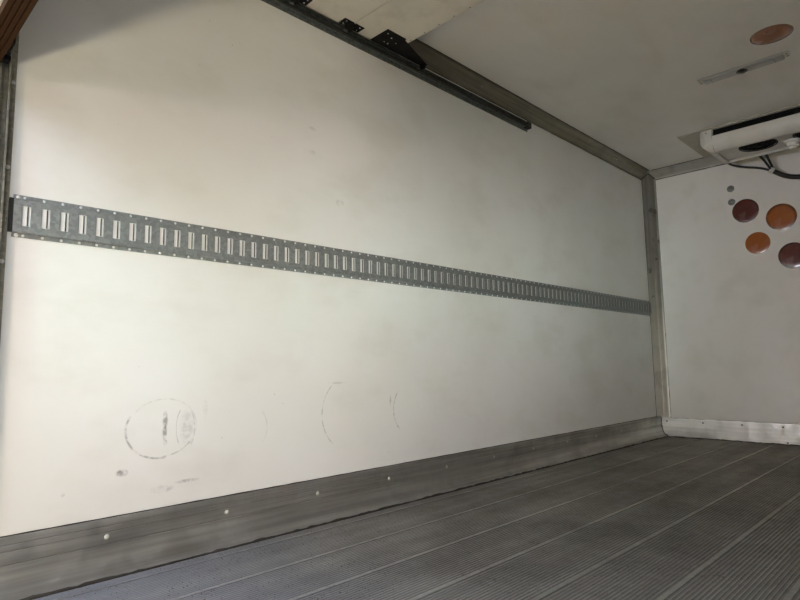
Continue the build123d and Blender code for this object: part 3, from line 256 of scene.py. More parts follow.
# Smears: middle ahead and above, half length, half height, strength
SCUFF_SMEARS = [
    (0.497, 0.455, 0.0100, 0.0300, 0.75), (0.496, 0.412, 0.0085, 0.0260, 0.85),
    (0.499, 0.380, 0.0075, 0.0120, 0.60), (0.362, 0.298, 0.0200, 0.0120, 0.95),
    (0.195, 0.257, 0.0055, 0.0050, 0.80), (0.490, 0.228, 0.0420, 0.0130, 0.42),
    (0.578, 0.243, 0.0460, 0.0070, 0.50), (1.245, 0.555, 0.0500, 0.0050, 0.30),
    (0.575, 0.425, 0.0300, 0.0600, 0.26), (1.106, 1.655, 0.0260, 0.0100, 0.22),
    (1.110, 1.549, 0.0200, 0.0120, 0.16), (1.261, 1.353, 0.0300, 0.0160, 0.20),
    (1.560, 0.462, 0.0060, 0.0280, 0.45), (0.640, 0.480, 0.0100, 0.0400, 0.14),
]


def scuffs(look):
    """Mask of broken bows and smears, worn into the left wall by loads rubbing on it."""
    broken = look.patches(46.0, 6.0, 0.40, 0.60, 0.15, 1.0)
    total = 0.0
    y = look.axis("Y")
    z = look.axis("Z")

    def scaled(ahead, up, along_y, along_z):
        """Distances from a middle, as shares of two radii."""
        return (look.sum("DIVIDE", look.sum("SUBTRACT", y, mark_y + ahead), along_y),
                look.sum("DIVIDE", look.sum("SUBTRACT", z, deck_z + up), along_z))

    for ahead, up, along_y, along_z, width, middle, half, strength in SCUFF_BOWS:
        across, above = scaled(ahead, up, along_y, along_z)
        away = look.sum("SQRT", look.squares(across, above))
        off = look.sum("ABSOLUTE", look.sum("SUBTRACT", away, 1.0))
        share = width / (along_y + along_z)
        turn = radians(middle)
        facing = look.sum("ADD", look.times(across, cos(turn)), look.times(above, sin(turn)))
        facing = look.sum("DIVIDE", facing, away)
        edge = cos(radians(half))
        bow = look.times(look.span(off, share * 0.4, share * 1.6, strength, 0.0),
                         look.span(facing, edge - 0.06, edge + 0.10))
        total = look.sum("ADD", total, bow)
    for ahead, up, half_length, half_height, strength in SCUFF_SMEARS:
        away = look.squares(*scaled(ahead, up, half_length, half_height))
        total = look.sum("ADD", total, look.span(away, 0.1, 1.3, strength, 0.0))
    from_left = look.sum("ABSOLUTE", look.sum("ADD", look.axis("X"), wall_x))
    on_left = look.span(from_left, 0.005, 0.010, 1.0, 0.0)
    return look.times(look.times(total, broken), on_left, clamp=True)


def deck_metal():
    """Trodden aluminium planks, brown with dirt between the ribs, with a painted reflection of the sky near the
    doorway.
    """
    look = Look("deck_metal")
    wear = look.noise(14.0, 5.0, stretch=(1.0, 0.06, 1.0))
    patches = look.noise(2.6, 5.0)
    clean = look.mix(look.span(wear, 0.35, 0.70), (0.345, 0.322, 0.285), (0.50, 0.473, 0.425))
    dirt = look.mix(look.span(patches, 0.35, 0.65), (0.115, 0.103, 0.088), (0.190, 0.174, 0.150))
    on_top = look.span(look.axis("Z"), deck_z - 0.0026, deck_z - 0.0002)
    worn = look.times(on_top, look.span(patches, 0.20, 0.75, 0.35, 0.95))
    base = look.mix(worn, dirt, clean)
    # Painted reflection of the sky: the deck turns bluer towards the doorway
    sky_reflection = look.span(look.axis("Y"), mark_y + 0.10, mark_y + 1.20, 0.50, 0.0)
    base = look.mix(sky_reflection, base, (0.40, 0.42, 0.49))
    for size, reach, rare in ((42.0, 0.13, 0.50), (120.0, 0.22, 0.40)):
        specks = look.span(look.cells(size)["Distance"], reach * 0.6, reach, 1.0, 0.0)
        some = look.patches(6.0, 3.0, rare, rare + 0.12)
        base = look.mix(look.times(specks, some), base, (0.035, 0.03, 0.026))
    rough = look.patches(30.0, 4.0, 0.3, 0.7, 0.42, 0.62)
    normal = look.bump(look.noise(220.0, 3.0), 0.0006, 0.4, under=look.bump(wear, 0.0010, 0.5))
    return look.finish(base, rough, look.times(worn, 0.75), normal=normal)


def metal(name, light, dark, streaks, rough, grime, edge=0.0012, painted_highlight=None):
    """Bare or plated metal with drawn streaks and grime; a painted highlight brightens it over a span of one
    axis.
    """
    look = Look(name)
    lines = look.noise(40.0, 4.0, stretch=streaks)
    base = look.mix(look.span(lines, 0.30, 0.70), dark, light)
    if painted_highlight:
        way, dull, bright, tone = painted_highlight
        # Painted highlight: the bright tone takes over towards the bright end of the span
        base = look.mix(look.span(look.axis(way), dull, bright), base, tone)
    dirt = look.patches(4.5, 6.0, 0.48, 0.72, 0.0, grime)
    base = look.mix(dirt, base, (0.12, 0.105, 0.085))
    shine = look.patches(12.0, 5.0, 0.3, 0.7, rough - 0.08, rough + 0.12)
    normal = look.bump(lines, 0.0005, 0.35, under=look.round_edges(edge))
    solid = look.times(look.sum("SUBTRACT", 1.0, dirt), 0.85)
    return look.finish(base, shine, solid, normal=normal)


def galvanised(name, light, dark, grime=0.3, greasy_shaded_lips=False, painted_front_shade=0.0):
    """Zinc with its crystals, dulled with grime; painted shade darkens it towards the front; greasy black and
    painted shade under the level tracks' lower lips, where the door's rollers run.
    """
    look = Look(name)
    shade = look.add("SeparateColor", {0: look.cells(95.0)["Color"]}).outputs
    base = look.mix(look.span(shade[0], 0.0, 1.0), dark, light)
    base = look.mix(look.patches(3.5, 5.0, 0.5, 0.75, 0.0, grime), base, (0.10, 0.09, 0.075))
    rubs = look.patches(60.0, 5.0, 0.66, 0.78, stretch=(1, 0.08, 1))
    base = look.mix(look.times(rubs, 0.45), base, (0.62, 0.63, 0.62))
    # Painted shade: darker towards the front, away from the doorway's daylight
    base = look.mix(look.span(look.axis("Y"), -1.6, 0.4, 0.0, painted_front_shade), base, (0.075, 0.080, 0.078))
    solid = 0.55
    if greasy_shaded_lips:
        # Greasy black and painted shade on the tracks' lower lips and bottom faces
        out = look.span(look.sum("ABSOLUTE", look.axis("X")), wall_x - 0.022, wall_x - 0.014, 1.0, 0.0)
        under = look.span(look.axis("Z"), deck_z + 2.1745, deck_z + 2.1758, 1.0, 0.0)
        worn = look.patches(24.0, 5.0, 0.3, 0.6, 0.75, 1.0, stretch=(1, 0.2, 1))
        greasy_shade = look.times(look.times(out, under), worn)
        base = look.mix(greasy_shade, base, (0.010, 0.010, 0.009))
        solid = look.sum("SUBTRACT", solid, look.times(greasy_shade, 0.5))
    rough = look.span(shade[1], 0.0, 1.0, 0.38, 0.56)
    return look.finish(base, rough, solid, normal=look.round_edges(0.0010))


def paint(name, base, rough, dust=0.25, edge=0.002, gloss=0.5):
    """Sprayed or moulded coat with dust in it and rounded edges."""
    look = Look(name)
    tone = look.mix(look.patches(1.7, 3.0, 0.3, 0.7), base, tuple(c * 0.90 for c in base))
    tone = look.mix(look.patches(9.0, 6.0, 0.46, 0.74, 0.0, dust), tone, (0.36, 0.34, 0.30))
    shine = look.patches(15.0, 4.0, 0.3, 0.7, rough - 0.05, rough + 0.10)
    normal = look.bump(look.noise(240.0, 2.0), 0.0003, 0.35, under=look.round_edges(edge))
    return look.finish(tone, shine, normal=normal, Specular_IOR_Level=gloss)


def rubber(name, base, streak=(1.0, 1.0, 1.0), bloom=0.35, gloss=0.3):
    """Rubber with a grey bloom in streaks."""
    look = Look(name)
    grey = look.patches(11.0, 6.0, 0.42, 0.75, 0.0, bloom, stretch=streak)
    tone = look.mix(grey, base, tuple(min(1.0, c * 2.4 + 0.02) for c in base))
    normal = look.bump(look.noise(300.0, 3.0), 0.0005, 0.5)
    rough = look.span(grey, 0.0, 0.35, 0.52, 0.72)
    return look.finish(tone, rough, normal=normal, Specular_IOR_Level=gloss)


def lens(name, base):
    """Coloured plastic lens with small pillows moulded inside."""
    look = Look(name)
    pillows = look.cells(120.0)["Distance"]
    normal = look.bump(pillows, 0.0015, 0.6, under=look.round_edges(0.002))
    tone = look.mix(look.patches(8.0, 4.0, 0.4, 0.8, 0.0, 0.35), base, tuple(c * 0.5 for c in base))
    return look.finish(tone, 0.16, normal=normal, Coat_Weight=0.5)


def fins():
    """Edges of a coil's thin sheets, with painted shade in the dark gaps between them."""
    look = Look("coil_fins")
    edges = look.add("TexWave", {"Vector": look.place, "Scale": 60.0}, wave_type="BANDS", bands_direction="X")
    # Dark bands between the light fin edges: painted shade in the gaps
    base = look.mix(edges.outputs["Fac"], (0.08, 0.08, 0.08), (0.45, 0.46, 0.47))
    return look.finish(base, 0.4, 0.7, normal=look.bump(edges.outputs["Fac"], 0.002, 0.8))


def vinyl(name, base):
    """Printed film with a darker rim, from the disc's own middle."""
    look = Look(name)
    away = look.sum("SQRT", look.squares(*(look.axis(a) for a in "XYZ")))
    tone = look.mix(look.span(away, 0.080, 0.090), base, tuple(c * 0.45 for c in base))
    tone = look.mix(look.patches(30.0, 5.0, 0.45, 0.75, 0.0, 0.30), tone, tuple(c * 1.7 for c in base))
    normal = look.bump(look.noise(400.0, 2.0), 0.0002, 0.3)
    return look.finish(tone, look.patches(12.0, 3.0, 0.3, 0.7, 0.16, 0.30), normal=normal, Coat_Weight=0.4)


def dress(material, *names):
    """Put a finish on CAD nodes, and give it back."""
    for name in names:
        for place in nodes[name].material_slots:
            place.link = "OBJECT"
            place.material = material
    return material


def around(count, shift=0.0):
    """Angles of a number of equal steps round a circle."""
    return [2 * pi * (i + shift) / count for i in range(count)]


class Form:
    """Mesh under construction, from turned, extruded and bent shapes."""

    def __init__(self):
        self.mesh = bmesh.new()

    def ring(self, centre, spin, radius, height, steps):
        """Points of a circle about an axis."""
        return [self.mesh.verts.new(centre + spin @ Vector((radius * cos(a), radius * sin(a), height)))
                for a in around(steps)]

    def turned(self, profile, centre, axis=UP, steps=20, hoop=False):
        """Solid of revolution from radius and height pairs; a hoop's profile closes on itself."""
        spin = Vector(axis).normalized().to_track_quat("Z", "Y").to_matrix()
        centre = Vector(centre)
        rings = [self.ring(centre, spin, radius, height, steps if radius else 1) for radius, height in profile]
        for low, high in zip(rings, rings[1:] + rings[:1] if hoop else rings[1:]):
            for i in range(steps):
                k = (i + 1) % steps
                self.face([low[i % len(low)], low[k % len(low)], high[k % len(high)], high[i % len(high)]])
        if not hoop:
            for ring in (rings[0][::-1], rings[-1]):
                if len(ring) > 2:
                    self.mesh.faces.new(ring)
        return self

    def face(self, corners):
        """Face from corners, with repeated ones left out."""
        kept = list(dict.fromkeys(corners))
        if len(kept) > 2:
            self.mesh.faces.new(kept)

    def prism(self, outline, origin, right, up, depth):
        """Outline in the plane of right and up, made solid along their normal by depth."""
        origin = Vector(origin)
        right = Vector(right)
        up = Vector(up)
        out = right.cross(up).normalized() * depth
        low = [self.mesh.verts.new(origin + right * a + up * b) for a, b in outline]
        high = [self.mesh.verts.new(v.co + out) for v in low]
        self.mesh.faces.new(low[::-1])
        self.mesh.faces.new(high)
        for i in range(len(low)):
            k = (i + 1) % len(low)
            self.mesh.faces.new((low[i], low[k], high[k], high[i]))
        return self

    def box(self, low, high):
        x0, y0, z0 = low
        x1, y1, z1 = high
        outline = [(x0, y0), (x1, y0), (x1, y1), (x0, y1)]
        return self.prism(outline, (0, 0, z0), RIGHT, FRONT, z1 - z0)

    def boxes(self, low, high):
        """A box on the right side, and its mirror image on the left."""
        self.box((-high[0], *low[1:]), (-low[0], *high[1:]))
        return self.box(low, high)

    def tube(self, points, radius, steps=10, closed=False):
        """Round wire along a line of points, of one radius or of one for each point."""
        points = [Vector(p) for p in points]
        count = len(points)
        radii = radius if isinstance(radius, list) else [radius] * count
        rings = []
        for i, point in enumerate(points):
            before = points[(i - 1) % count] if closed or i > 0 else point
            after = points[(i + 1) % count] if closed or i < count - 1 else point
            spin = (after - before).normalized().to_track_quat("Z", "Y").to_matrix()
            rings.append(self.ring(point, spin, radii[i], 0, steps))
        for low, high in zip(rings, rings[1:] + rings[:1] if closed else rings[1:]):
            shift = min(range(steps), key=lambda s: (low[0].co - high[s].co).length)
            for i in range(steps):
                k = (i + 1) % steps
                self.mesh.faces.new((low[i], low[k], high[(k + shift) % steps], high[(i + shift) % steps]))
        if not closed:
            self.mesh.faces.new(rings[0][::-1])
            self.mesh.faces.new(rings[-1])
        return self

    def bead(self, points, radius, wander):
        """Line of sealant, uneven along its length."""
        self.tube(points, [radius * (1 + wander * chance.uniform(-1, 1)) for _ in points], 7)

    def line(self, start, way, end, step, radius, wander):
        """Sealant from a place to where one of its coordinates has another value."""
        start = Vector(start)
        stop = start.copy()
        setattr(stop, way, end)
        count = max(2, round((stop - start).length / step) + 1)
        self.bead([start.lerp(stop, i / (count - 1)) for i in range(count)], radius, wander)

    def piece(self, name, material, slot, smooth=True, bevel=0.0, sharp=35.0):
        """Make the object, give it its finish and let it ride on the body."""
        bmesh.ops.recalc_face_normals(self.mesh, faces=self.mesh.faces)
        data = bpy.data.meshes.new(name)
        self.mesh.to_mesh(data)
        self.mesh.free()
        data.materials.append(material)
        thing = put(name, data)
        if bevel:
            modifier = thing.modifiers.new("edges", "BEVEL")
            modifier.width = bevel
            modifier.segments = 2
            modifier.limit_method = "ANGLE"
            modifier.angle_limit = radians(sharp)
        if smooth:
            data.shade_smooth()
            data.set_sharp_from_angle(angle=radians(sharp))
        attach(thing, BODY)
        return thing


dress(fibreglass(), "side_walls", "front_wall", "roof_panel")
dress(deck_metal(), "floor_deck")
dress(metal("liner_metal", (0.45, 0.435, 0.410), (0.32, 0.307, 0.285), (1.0, 0.03, 1.0), 0.44, 0.40),
      "scuff_liners")
# Painted highlight on the corner coves, brighter towards the bottom
dress(metal("trim_metal", (0.44, 0.425, 0.39), (0.31, 0.295, 0.26), (1.0, 1.0, 0.05), 0.34, 0.35,
            painted_highlight=("Z", deck_z + 1.55, deck_z + 0.35, (0.88, 0.83, 0.76))), "corner_coves")
# Painted highlight on the ceiling cove's front length, along the front wall
cove_metal = metal("cove_metal", (0.29, 0.275, 0.220), (0.185, 0.172, 0.135), (1.0, 0.04, 1.0), 0.42, 0.50,
                   painted_highlight=("Y", front_y - 0.085, front_y - 0.072, (0.56, 0.545, 0.51)))
dress(cove_metal, "ceiling_coves")
dress(metal("kick_metal", (0.64, 0.62, 0.595), (0.51, 0.50, 0.47), (0.05, 1.0, 1.0), 0.42, 0.45),
      "front_kick_plate")
dress(metal("rail_metal", (0.70, 0.71, 0.71), (0.60, 0.61, 0.61), (1.0, 0.05, 1.0), 0.36, 0.15),
      "top_rails", "bottom_rails", "front_corner_posts", "roof_corner_caps")
dress(metal("lamp_metal", (0.52, 0.53, 0.53), (0.42, 0.43, 0.43), (0.05, 1.0, 1.0), 0.38, 0.20), "ceiling_lamp")
bright_steel = metal("bright_steel", (0.80, 0.80, 0.80), (0.66, 0.66, 0.66), (1, 1, 1), 0.28, 0.10, edge=0.0004)
# The zinc gets painted shade that darkens it towards the front
zinc = dress(galvanised("zinc", (0.335, 0.350, 0.345), (0.255, 0.270, 0.268), grime=0.15, painted_front_shade=0.38),
             "e_tracks", "counterbalance_shaft", "door_latch", "door_rollers")
# Near-black zinc for the rail slots' lips: painted shadow in each slot
lip_shadow_zinc = galvanised("lip_shadow_zinc", (0.085, 0.088, 0.085), (0.055, 0.058, 0.055))
dress(galvanised("track_zinc", (0.33, 0.315, 0.26), (0.22, 0.21, 0.175), grime=0.6),
      "door_track_uprights", "door_track_bends")
# Level tracks: greasy black and painted shade under their lower lips
level_zinc = dress(galvanised("level_zinc", (0.20, 0.215, 0.205), (0.12, 0.13, 0.125), grime=0.5, greasy_shaded_lips=True),
                   "door_track_levels")
dress(paint("outer_paint", (0.80, 0.81, 0.80), 0.30, dust=0.12), "condenser_housing")
dress(paint("door_skin", (0.70, 0.655, 0.57), 0.42, dust=0.35), "door_panels")
dress(paint("frame_paint", (0.30, 0.31, 0.31), 0.42), "rear_posts", "rear_header", "rear_sill")
dress(paint("chassis_black", (0.025, 0.025, 0.026), 0.45, dust=0.30),
      "floor_slab", "long_sills", "crossmembers")
dress(paint("plate_beige", (0.42, 0.39, 0.33), 0.50, dust=0.20), "evaporator_plate")
unit_white = dress(paint("unit_white", (0.66, 0.645, 0.60), 0.45, dust=0.22), "evaporator_housing")
hinge_black = dress(paint("hinge_black", (0.006, 0.006, 0.0065), 0.55, dust=0.02, edge=0.001, gloss=0.15),
                    "door_hinges", "door_corner_brackets", "counterbalance_springs")
unit_black = paint("unit_black", (0.006, 0.006, 0.0065), 0.50, dust=0.02, edge=0.001, gloss=0.15)
dress(unit_black, "evaporator_louvre")
for part in ("guards", "motors", "left", "right"):
    dress(unit_black, "evaporator_fan_" + part, "condenser_fan_" + part)
tie_plastic = dress(paint("tie_plastic", (0.66, 0.64, 0.58), 0.45, dust=0.1, edge=0.001), "hose_tie")
filler_white = paint("filler_white", (0.86, 0.85, 0.82), 0.40, dust=0.05, edge=0.0005)
black_rubber = dress(rubber("black_rubber", (0.018, 0.018, 0.018)),
                     "dock_bumpers", "doorway_seals", "e_track_end_pads", "hose_glands")
dress(rubber("brown_rubber", (0.037, 0.0145, 0.0038), streak=(0.1, 1.0, 1.0), bloom=0.06, gloss=0.06),
      "door_bottom_seal")
sealant = rubber("sealant", (0.040, 0.034, 0.028))
dress(lens("red_lens", (0.42, 0.012, 0.010)), "tail_lamps")
dress(lens("amber_lens", (0.80, 0.24, 0.015)), "marker_lamps")
dark_lens = dress(lens("dark_lens", (0.02, 0.02, 0.022)), "ceiling_lamp_lens")
dress(fins(), "condenser_coil")

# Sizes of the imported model, in metres; heights are above the deck and lengths ahead of the roller line
RAIL_MIDDLE = 1.079
RAIL_SHEET = 0.0027
RAIL_SCREWS = (0.0560, -0.0575)    # above and below the rail's middle
SLOT_PITCH = 0.0508
FIRST_SLOT = 0.033
LINER_SKIN = 0.005
LINER_TOE = 0.052
LINER_HEIGHT = 0.168
KICK_HEIGHT = 0.155
COVE_WALL = 0.073
COVE_CEILING = 0.071
CORNER_SIDE = 0.088
CORNER_FRONT = 0.085
ROLLER_LINE = 2.1645
TRACK_RADIUS = 0.330
TRACK_END = 2.862
TRACK_HALF = 0.0145
TRACK_DEPTH = 0.032
PANEL_PITCH = 0.297
PANELS = 7
ROLLER_OFFSET = 0.015
DOOR_BOTTOM = 1.522
PLATE_HALF = 0.645
FAN_X = 0.165


def steps(start, end, step):
    """Numbers from a start, one step apart, that stay below an end."""
    value = start
    while value < end:
        yield value
        value += step


def both(x, y, z, out):
    """A spot with its direction on the right side, and its mirror image on the left."""
    return [((side * x, y, z), (side * out[0], out[1], out[2])) for side in SIDES]


def middle_of(name):
    """Middle of a node's box."""
    low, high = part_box(name)
    return (low + high) / 2


def dome(radius, height):
    """Profile of a domed head that stands on a face."""
    rise = [radians(a) for a in (0, 25, 50, 75)]
    return [(radius, -height * 0.3), *((radius * cos(a), height * sin(a)) for a in rise), (0, height)]


def heads(spots, radius, height, steps=10):
    """Form with a domed head at each place and direction."""
    form = Form()
    for place, out in spots:
        form.turned(dome(radius, height), place, out, steps)
    return form


def hexes(spots, radius, height):
    """Form with a hexagon head on a washer at each place and direction."""
    form = Form()
    for place, out in spots:
        washer = radius * 1.25
        form.turned([(washer, -height * 0.2), (washer, height * 0.22)], place, out, 18)
        form.turned([(radius, height * 0.2), (radius, height * 0.85), (radius * 0.86, height)], place, out, 6)
    return form


def make_rail_fixings():
    """Screws, folded slot lips and the pale wall behind the slots of the cargo rails; the lips' near-black zinc
    is painted shadow in each slot.
    """
    low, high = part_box("e_tracks")
    rear = low.y
    front = high.y
    middle = deck_z + RAIL_MIDDLE
    spots = []
    ends = []
    lips = Form()
    for up in RAIL_SCREWS:
        ends += both(wall_x - RAIL_SHEET, rear + 0.012, middle + up, LEFT)
    for y in steps(rear + FIRST_SLOT, front - 0.02, SLOT_PITCH):
        for up in RAIL_SCREWS:
            spots += both(wall_x - RAIL_SHEET, y - 0.004, middle + up, LEFT)
        lips.boxes((wall_x - 0.0125, y + 0.0022, middle - 0.0285),
                   (wall_x - 0.0075, y + 0.0050, middle + 0.0285))
    lips.piece("rail_slot_lips", lip_shadow_zinc, "galvanised", smooth=False)
    filler = Form().boxes((wall_x - 0.0096, rear + 0.012, middle - 0.034),
                          (wall_x - 0.0010, front - 0.012, middle + 0.034))
    filler.piece("rail_fillers", filler_white, "panel_white", smooth=False)
    heads(spots, 0.0045, 0.0028, 8).piece("rail_screws", filler_white, "panel_white")
    heads(ends, 0.0060, 0.0034, 12).piece("rail_end_screws", filler_white, "panel_white")


def make_liner_fittings():
    spots = []
    top = Form()
    foot = Form()
    for y in steps(mark_y + 0.322, front_y - 0.05, 0.406):
        spots += both(wall_x - LINER_SKIN, y, deck_z + 0.112, LEFT)
    rear = mark_y + 0.03
    for side in SIDES:
        top.line((side * (wall_x - 0.0012), rear, deck_z + LINER_HEIGHT + 0.0005), "y", front_y - 0.002,
                 0.045, 0.0022, 0.30)
        foot.line((side * (wall_x - LINER_TOE - 0.0005), rear, deck_z + 0.0008), "y", front_y - 0.004,
                  0.022, 0.0052, 0.55)
    heads(spots, 0.0078, 0.0034, 16).piece("liner_rivets", tie_plastic, "panel_white")
    top.piece("liner_top_sealant", sealant, "black_rubber")
    foot.piece("liner_toe_sealant", sealant, "black_rubber")


def make_kick_fittings():
    face = front_y - 0.003
    spots = [((x, face, deck_z + z), REAR) for x, z in ((-0.2465, 0.014), (0.1450, 0.016))]
    for x in (1.1055, 0.8225, 0.5405, 0.2685):
        spots += both(x, face, deck_z + 0.127, REAR)
    heads(spots, 0.0066, 0.0030, 12).piece("kick_plate_screws", hinge_black, "black_steel")
    form = Form()
    reach = wall_x - LINER_TOE
    form.line((-reach, face - 0.001, deck_z + 0.001), "x", reach, 0.02, 0.0046, 0.5)
    reach = wall_x - 0.006
    form.line((-reach, face + 0.0015, deck_z + KICK_HEIGHT), "x", reach, 0.03, 0.0020, 0.4)
    # Up each end, along the liner's curved foot
    ends = [(0.0058, z) for z in (0.156, 0.148, 0.139, 0.131, 0.122, 0.113, 0.104, 0.096, 0.088, 0.080)]
    ends += [(0.0130, 0.048), (0.0240, 0.022), (0.0500, 0.006)]
    for side in SIDES:
        form.bead([(side * (wall_x - inward), face - 0.001, deck_z + z) for inward, z in ends], 0.0050, 0.6)
    form.piece("kick_plate_sealant", sealant, "black_rubber")


def make_trim_sealant():
    form = Form()
    top = ceiling_z - 0.0008
    cove_z = ceiling_z - COVE_WALL
    corner_y = front_y - CORNER_SIDE
    y0 = mark_y + 0.040
    y1 = corner_y - 0.004
    for side in SIDES:
        x = side * (wall_x - 0.0008)
        form.line((x, y0, cove_z), "y", y1, 0.06, 0.0026, 0.3)
        form.line((side * (wall_x - COVE_CEILING), y0, top), "y", y1, 0.06, 0.0024, 0.3)
        form.line((x, corner_y, deck_z + LINER_HEIGHT), "z", cove_z, 0.05, 0.0020, 0.3)
        form.line((side * (wall_x - CORNER_FRONT), front_y - 0.0008, deck_z + KICK_HEIGHT), "z", cove_z,
                  0.05, 0.0022, 0.3)
        slant = [(side * (wall_x - CORNER_FRONT * k - 0.001), front_y - CORNER_SIDE * (1 - k) - 0.001,
                  ceiling_z - 0.010 - 0.060 * abs(2 * k - 1))
                 for k in (0.02, 0.15, 0.3, 0.45, 0.6, 0.75, 0.9, 0.98)]
        form.bead(slant, 0.0036, 0.5)
    reach = wall_x - CORNER_FRONT - 0.004
    cove_y = front_y - COVE_CEILING
    form.line((-reach, front_y - 0.001, cove_z), "x", reach, 0.05, 0.0034, 0.35)
    form.line((-reach, cove_y, top), "x", -PLATE_HALF, 0.05, 0.0034, 0.35)
    form.line((PLATE_HALF, cove_y, top), "x", reach, 0.05, 0.0034, 0.35)
    form.piece("trim_sealant", sealant, "black_rubber")


def make_wall_bolts():
    form = Form()
    washer = [(0.0270, -0.001), (0.0270, 0.0022), (0.0255, 0.0030), (0.0190, 0.0032)]
    head = [(r, h + 0.0028) for r, h in dome(0.0190, 0.0085)]
    for up in (1.999, 1.889):
        for profile in (washer, head):
            form.turned(profile, (-0.4868, front_y, deck_z + up), REAR, 28)
    form.piece("front_wall_bolts", zinc, "galvanised")


# Round dots on the front wall and the ceiling: place, direction, radius and colour
DOTS = [
    ((-0.395, front_y, deck_z + 1.800), REAR, 0.094, (0.095, 0.014, 0.010)),
    ((-0.160, front_y, deck_z + 1.705), REAR, 0.102, (0.33, 0.090, 0.014)),
    ((-0.330, front_y, deck_z + 1.530), REAR, 0.086, (0.33, 0.090, 0.014)),
    ((-0.105, front_y, deck_z + 1.400), REAR, 0.098, (0.105, 0.018, 0.014)),
    ((0.205, front_y - 1.760, ceiling_z), DOWN, 0.096, (0.27, 0.085, 0.014)),
]


def make_dots():
    """Film discs, each with its own origin so that its rim follows it."""
    for i, (place, out, radius, tone) in enumerate(DOTS, 1):
        profile = [(radius, 0.0), (radius, 0.00035), (radius - 0.0006, 0.00055), (radius * 0.5, 0.00056),
                   (0, 0.00056)]
        disc = Form().turned(profile, (0, 0, 0), out, 72)
        disc.piece(f"dot_{i}", vinyl(f"film_{i}", tone), "red_lens").location = place


def make_lamp_fittings():
    """End caps, screws, seams and the domed eye of the ceiling lamp."""
    low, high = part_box("ceiling_lamp")
    mid = (low.y + high.y) / 2
    cap_z = ceiling_z - 0.0080 - 0.0022
    tip = high.x + 0.0008
    caps = Form()
    spots = []
    for side in SIDES:
        outline = [(0.2045, -0.0275), (tip - 0.006, -0.0275), (tip, -0.0215), (tip, 0.0215),
                   (tip - 0.006, 0.0275), (0.2045, 0.0275)]
        caps.prism([(side * x, mid + y) for x, y in outline], (0, 0, cap_z), RIGHT, FRONT, 0.0022)
    for dy in (-0.016, 0.016):
        spots += both(high.x - 0.011, mid + dy, cap_z, DOWN)
    caps.piece("lamp_end_caps", tie_plastic, "unit_plastic", bevel=0.0012)
    heads(spots, 0.0042, 0.0024, 12).piece("lamp_screws", hinge_black, "black_steel")
    middle = (middle_of("ceiling_lamp_lens").x, mid - 0.003, ceiling_z - 0.0205)
    eye = Form().turned([(0.0255, -0.002), (0.0255, 0.0030), (0.0240, 0.0052), (0.0205, 0.0085),
                         (0.0150, 0.0112), (0.0080, 0.0127), (0, 0.0132)], middle, DOWN, 40)
    eye.piece("lamp_eye", dark_lens, "lamp_dark", sharp=50)
    rim = Form().turned([(0.0285, 0.0), (0.0285, 0.0026), (0.0272, 0.0036), (0.0258, 0.0030), (0.0258, 0.0)],
                        middle, DOWN, 40, hoop=True)
    rim.piece("lamp_bezel", hinge_black, "lamp_metal")
    seams = Form()
    for x in (-0.160, 0.160):
        seams.tube([(x, mid + dy, ceiling_z - 0.0221) for dy in (-0.0245, 0.0245)], 0.0008, 6)
    seams.piece("lamp_seams", hinge_black, "black_steel")


def door_points():
    """Joints between the door's panels in Y and Z, from its lower edge."""
    up = ROLLER_LINE - TRACK_RADIUS - DOOR_BOTTOM
    arc = pi / 2 * TRACK_RADIUS

    def on_line(run):
        if run <= up:
            return Vector((0, line_y, deck_z + DOOR_BOTTOM + run))
        if run <= up + arc:
            a = (run - up) / TRACK_RADIUS
            return Vector((0, line_y + TRACK_RADIUS * (1 - cos(a)),
                           deck_z + ROLLER_LINE - TRACK_RADIUS * (1 - sin(a))))
        return Vector((0, line_y + TRACK_RADIUS + run - up - arc, deck_z + ROLLER_LINE))

    joints = [on_line(0.0)]
    run = 0.0
    for _ in range(PANELS):
        low, high = run, run + 2 * PANEL_PITCH
        for _ in range(40):
            run = (low + high) / 2
            if (on_line(run) - joints[-1]).length < PANEL_PITCH:
                low = run
            else:
                high = run
        joints.append(on_line(run))
    return joints


# Rivets of the corner plates on the lowest and the highest panel: from the middle, and up the panel
LOWEST_PLATE = ((1.045, 0.026), (1.045, 0.074), (1.105, 0.080))
HIGHEST_PLATE = ((1.037, 0.203), (1.083, 0.199), (1.083, 0.222), (1.055, 0.250), (1.020, 0.165))
HINGE_REACH = 1.0905


def make_door_fittings():
    """Rivets of the hinges and corner plates, screws of the front edge, blocks at the seal's ends."""
    joints = door_points()
    rivets = []
    screws = []
    for i, (low, high) in enumerate(zip(joints, joints[1:])):
        way = (high - low).normalized()
        out = Vector((0, -way.z, way.y))

        def at(x, run, depth=ROLLER_OFFSET - 0.003):
            return low + way * run + out * depth + Vector((x, 0, 0)), -out

        lowest = i == 0
        highest = i == PANELS - 1
        hinge_runs = ([] if lowest else [0.040]) + ([] if highest else [PANEL_PITCH - 0.040])
        for k in range(4):
            for dx in (-0.013, 0.013):
                rivets += [at(HINGE_REACH * (2 * k / 3 - 1) + dx, run) for run in hinge_runs]
        for x, run in LOWEST_PLATE if lowest else HIGHEST_PLATE if highest else ():
            rivets += [at(side * x, run) for side in SIDES]
        if highest:
            screws += [at(x, PANEL_PITCH - 0.011, ROLLER_OFFSET) for x in steps(-1.080, 1.09, 0.090)]
    heads(rivets, 0.0040, 0.0024, 10).piece("door_rivets", bright_steel, "galvanised")
    heads(screws, 0.0030, 0.0016, 8).piece("door_edge_screws", hinge_black, "black_steel")
    seal_low, seal_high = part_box("door_bottom_seal")
    blocks = Form().boxes((1.0860, seal_high.y - 0.002, seal_low.z + 0.016),
                          (1.1175, seal_high.y + 0.0255, seal_low.z + 0.031))
    blocks.piece("door_corner_blocks", hinge_black, "black_steel", bevel=0.002)


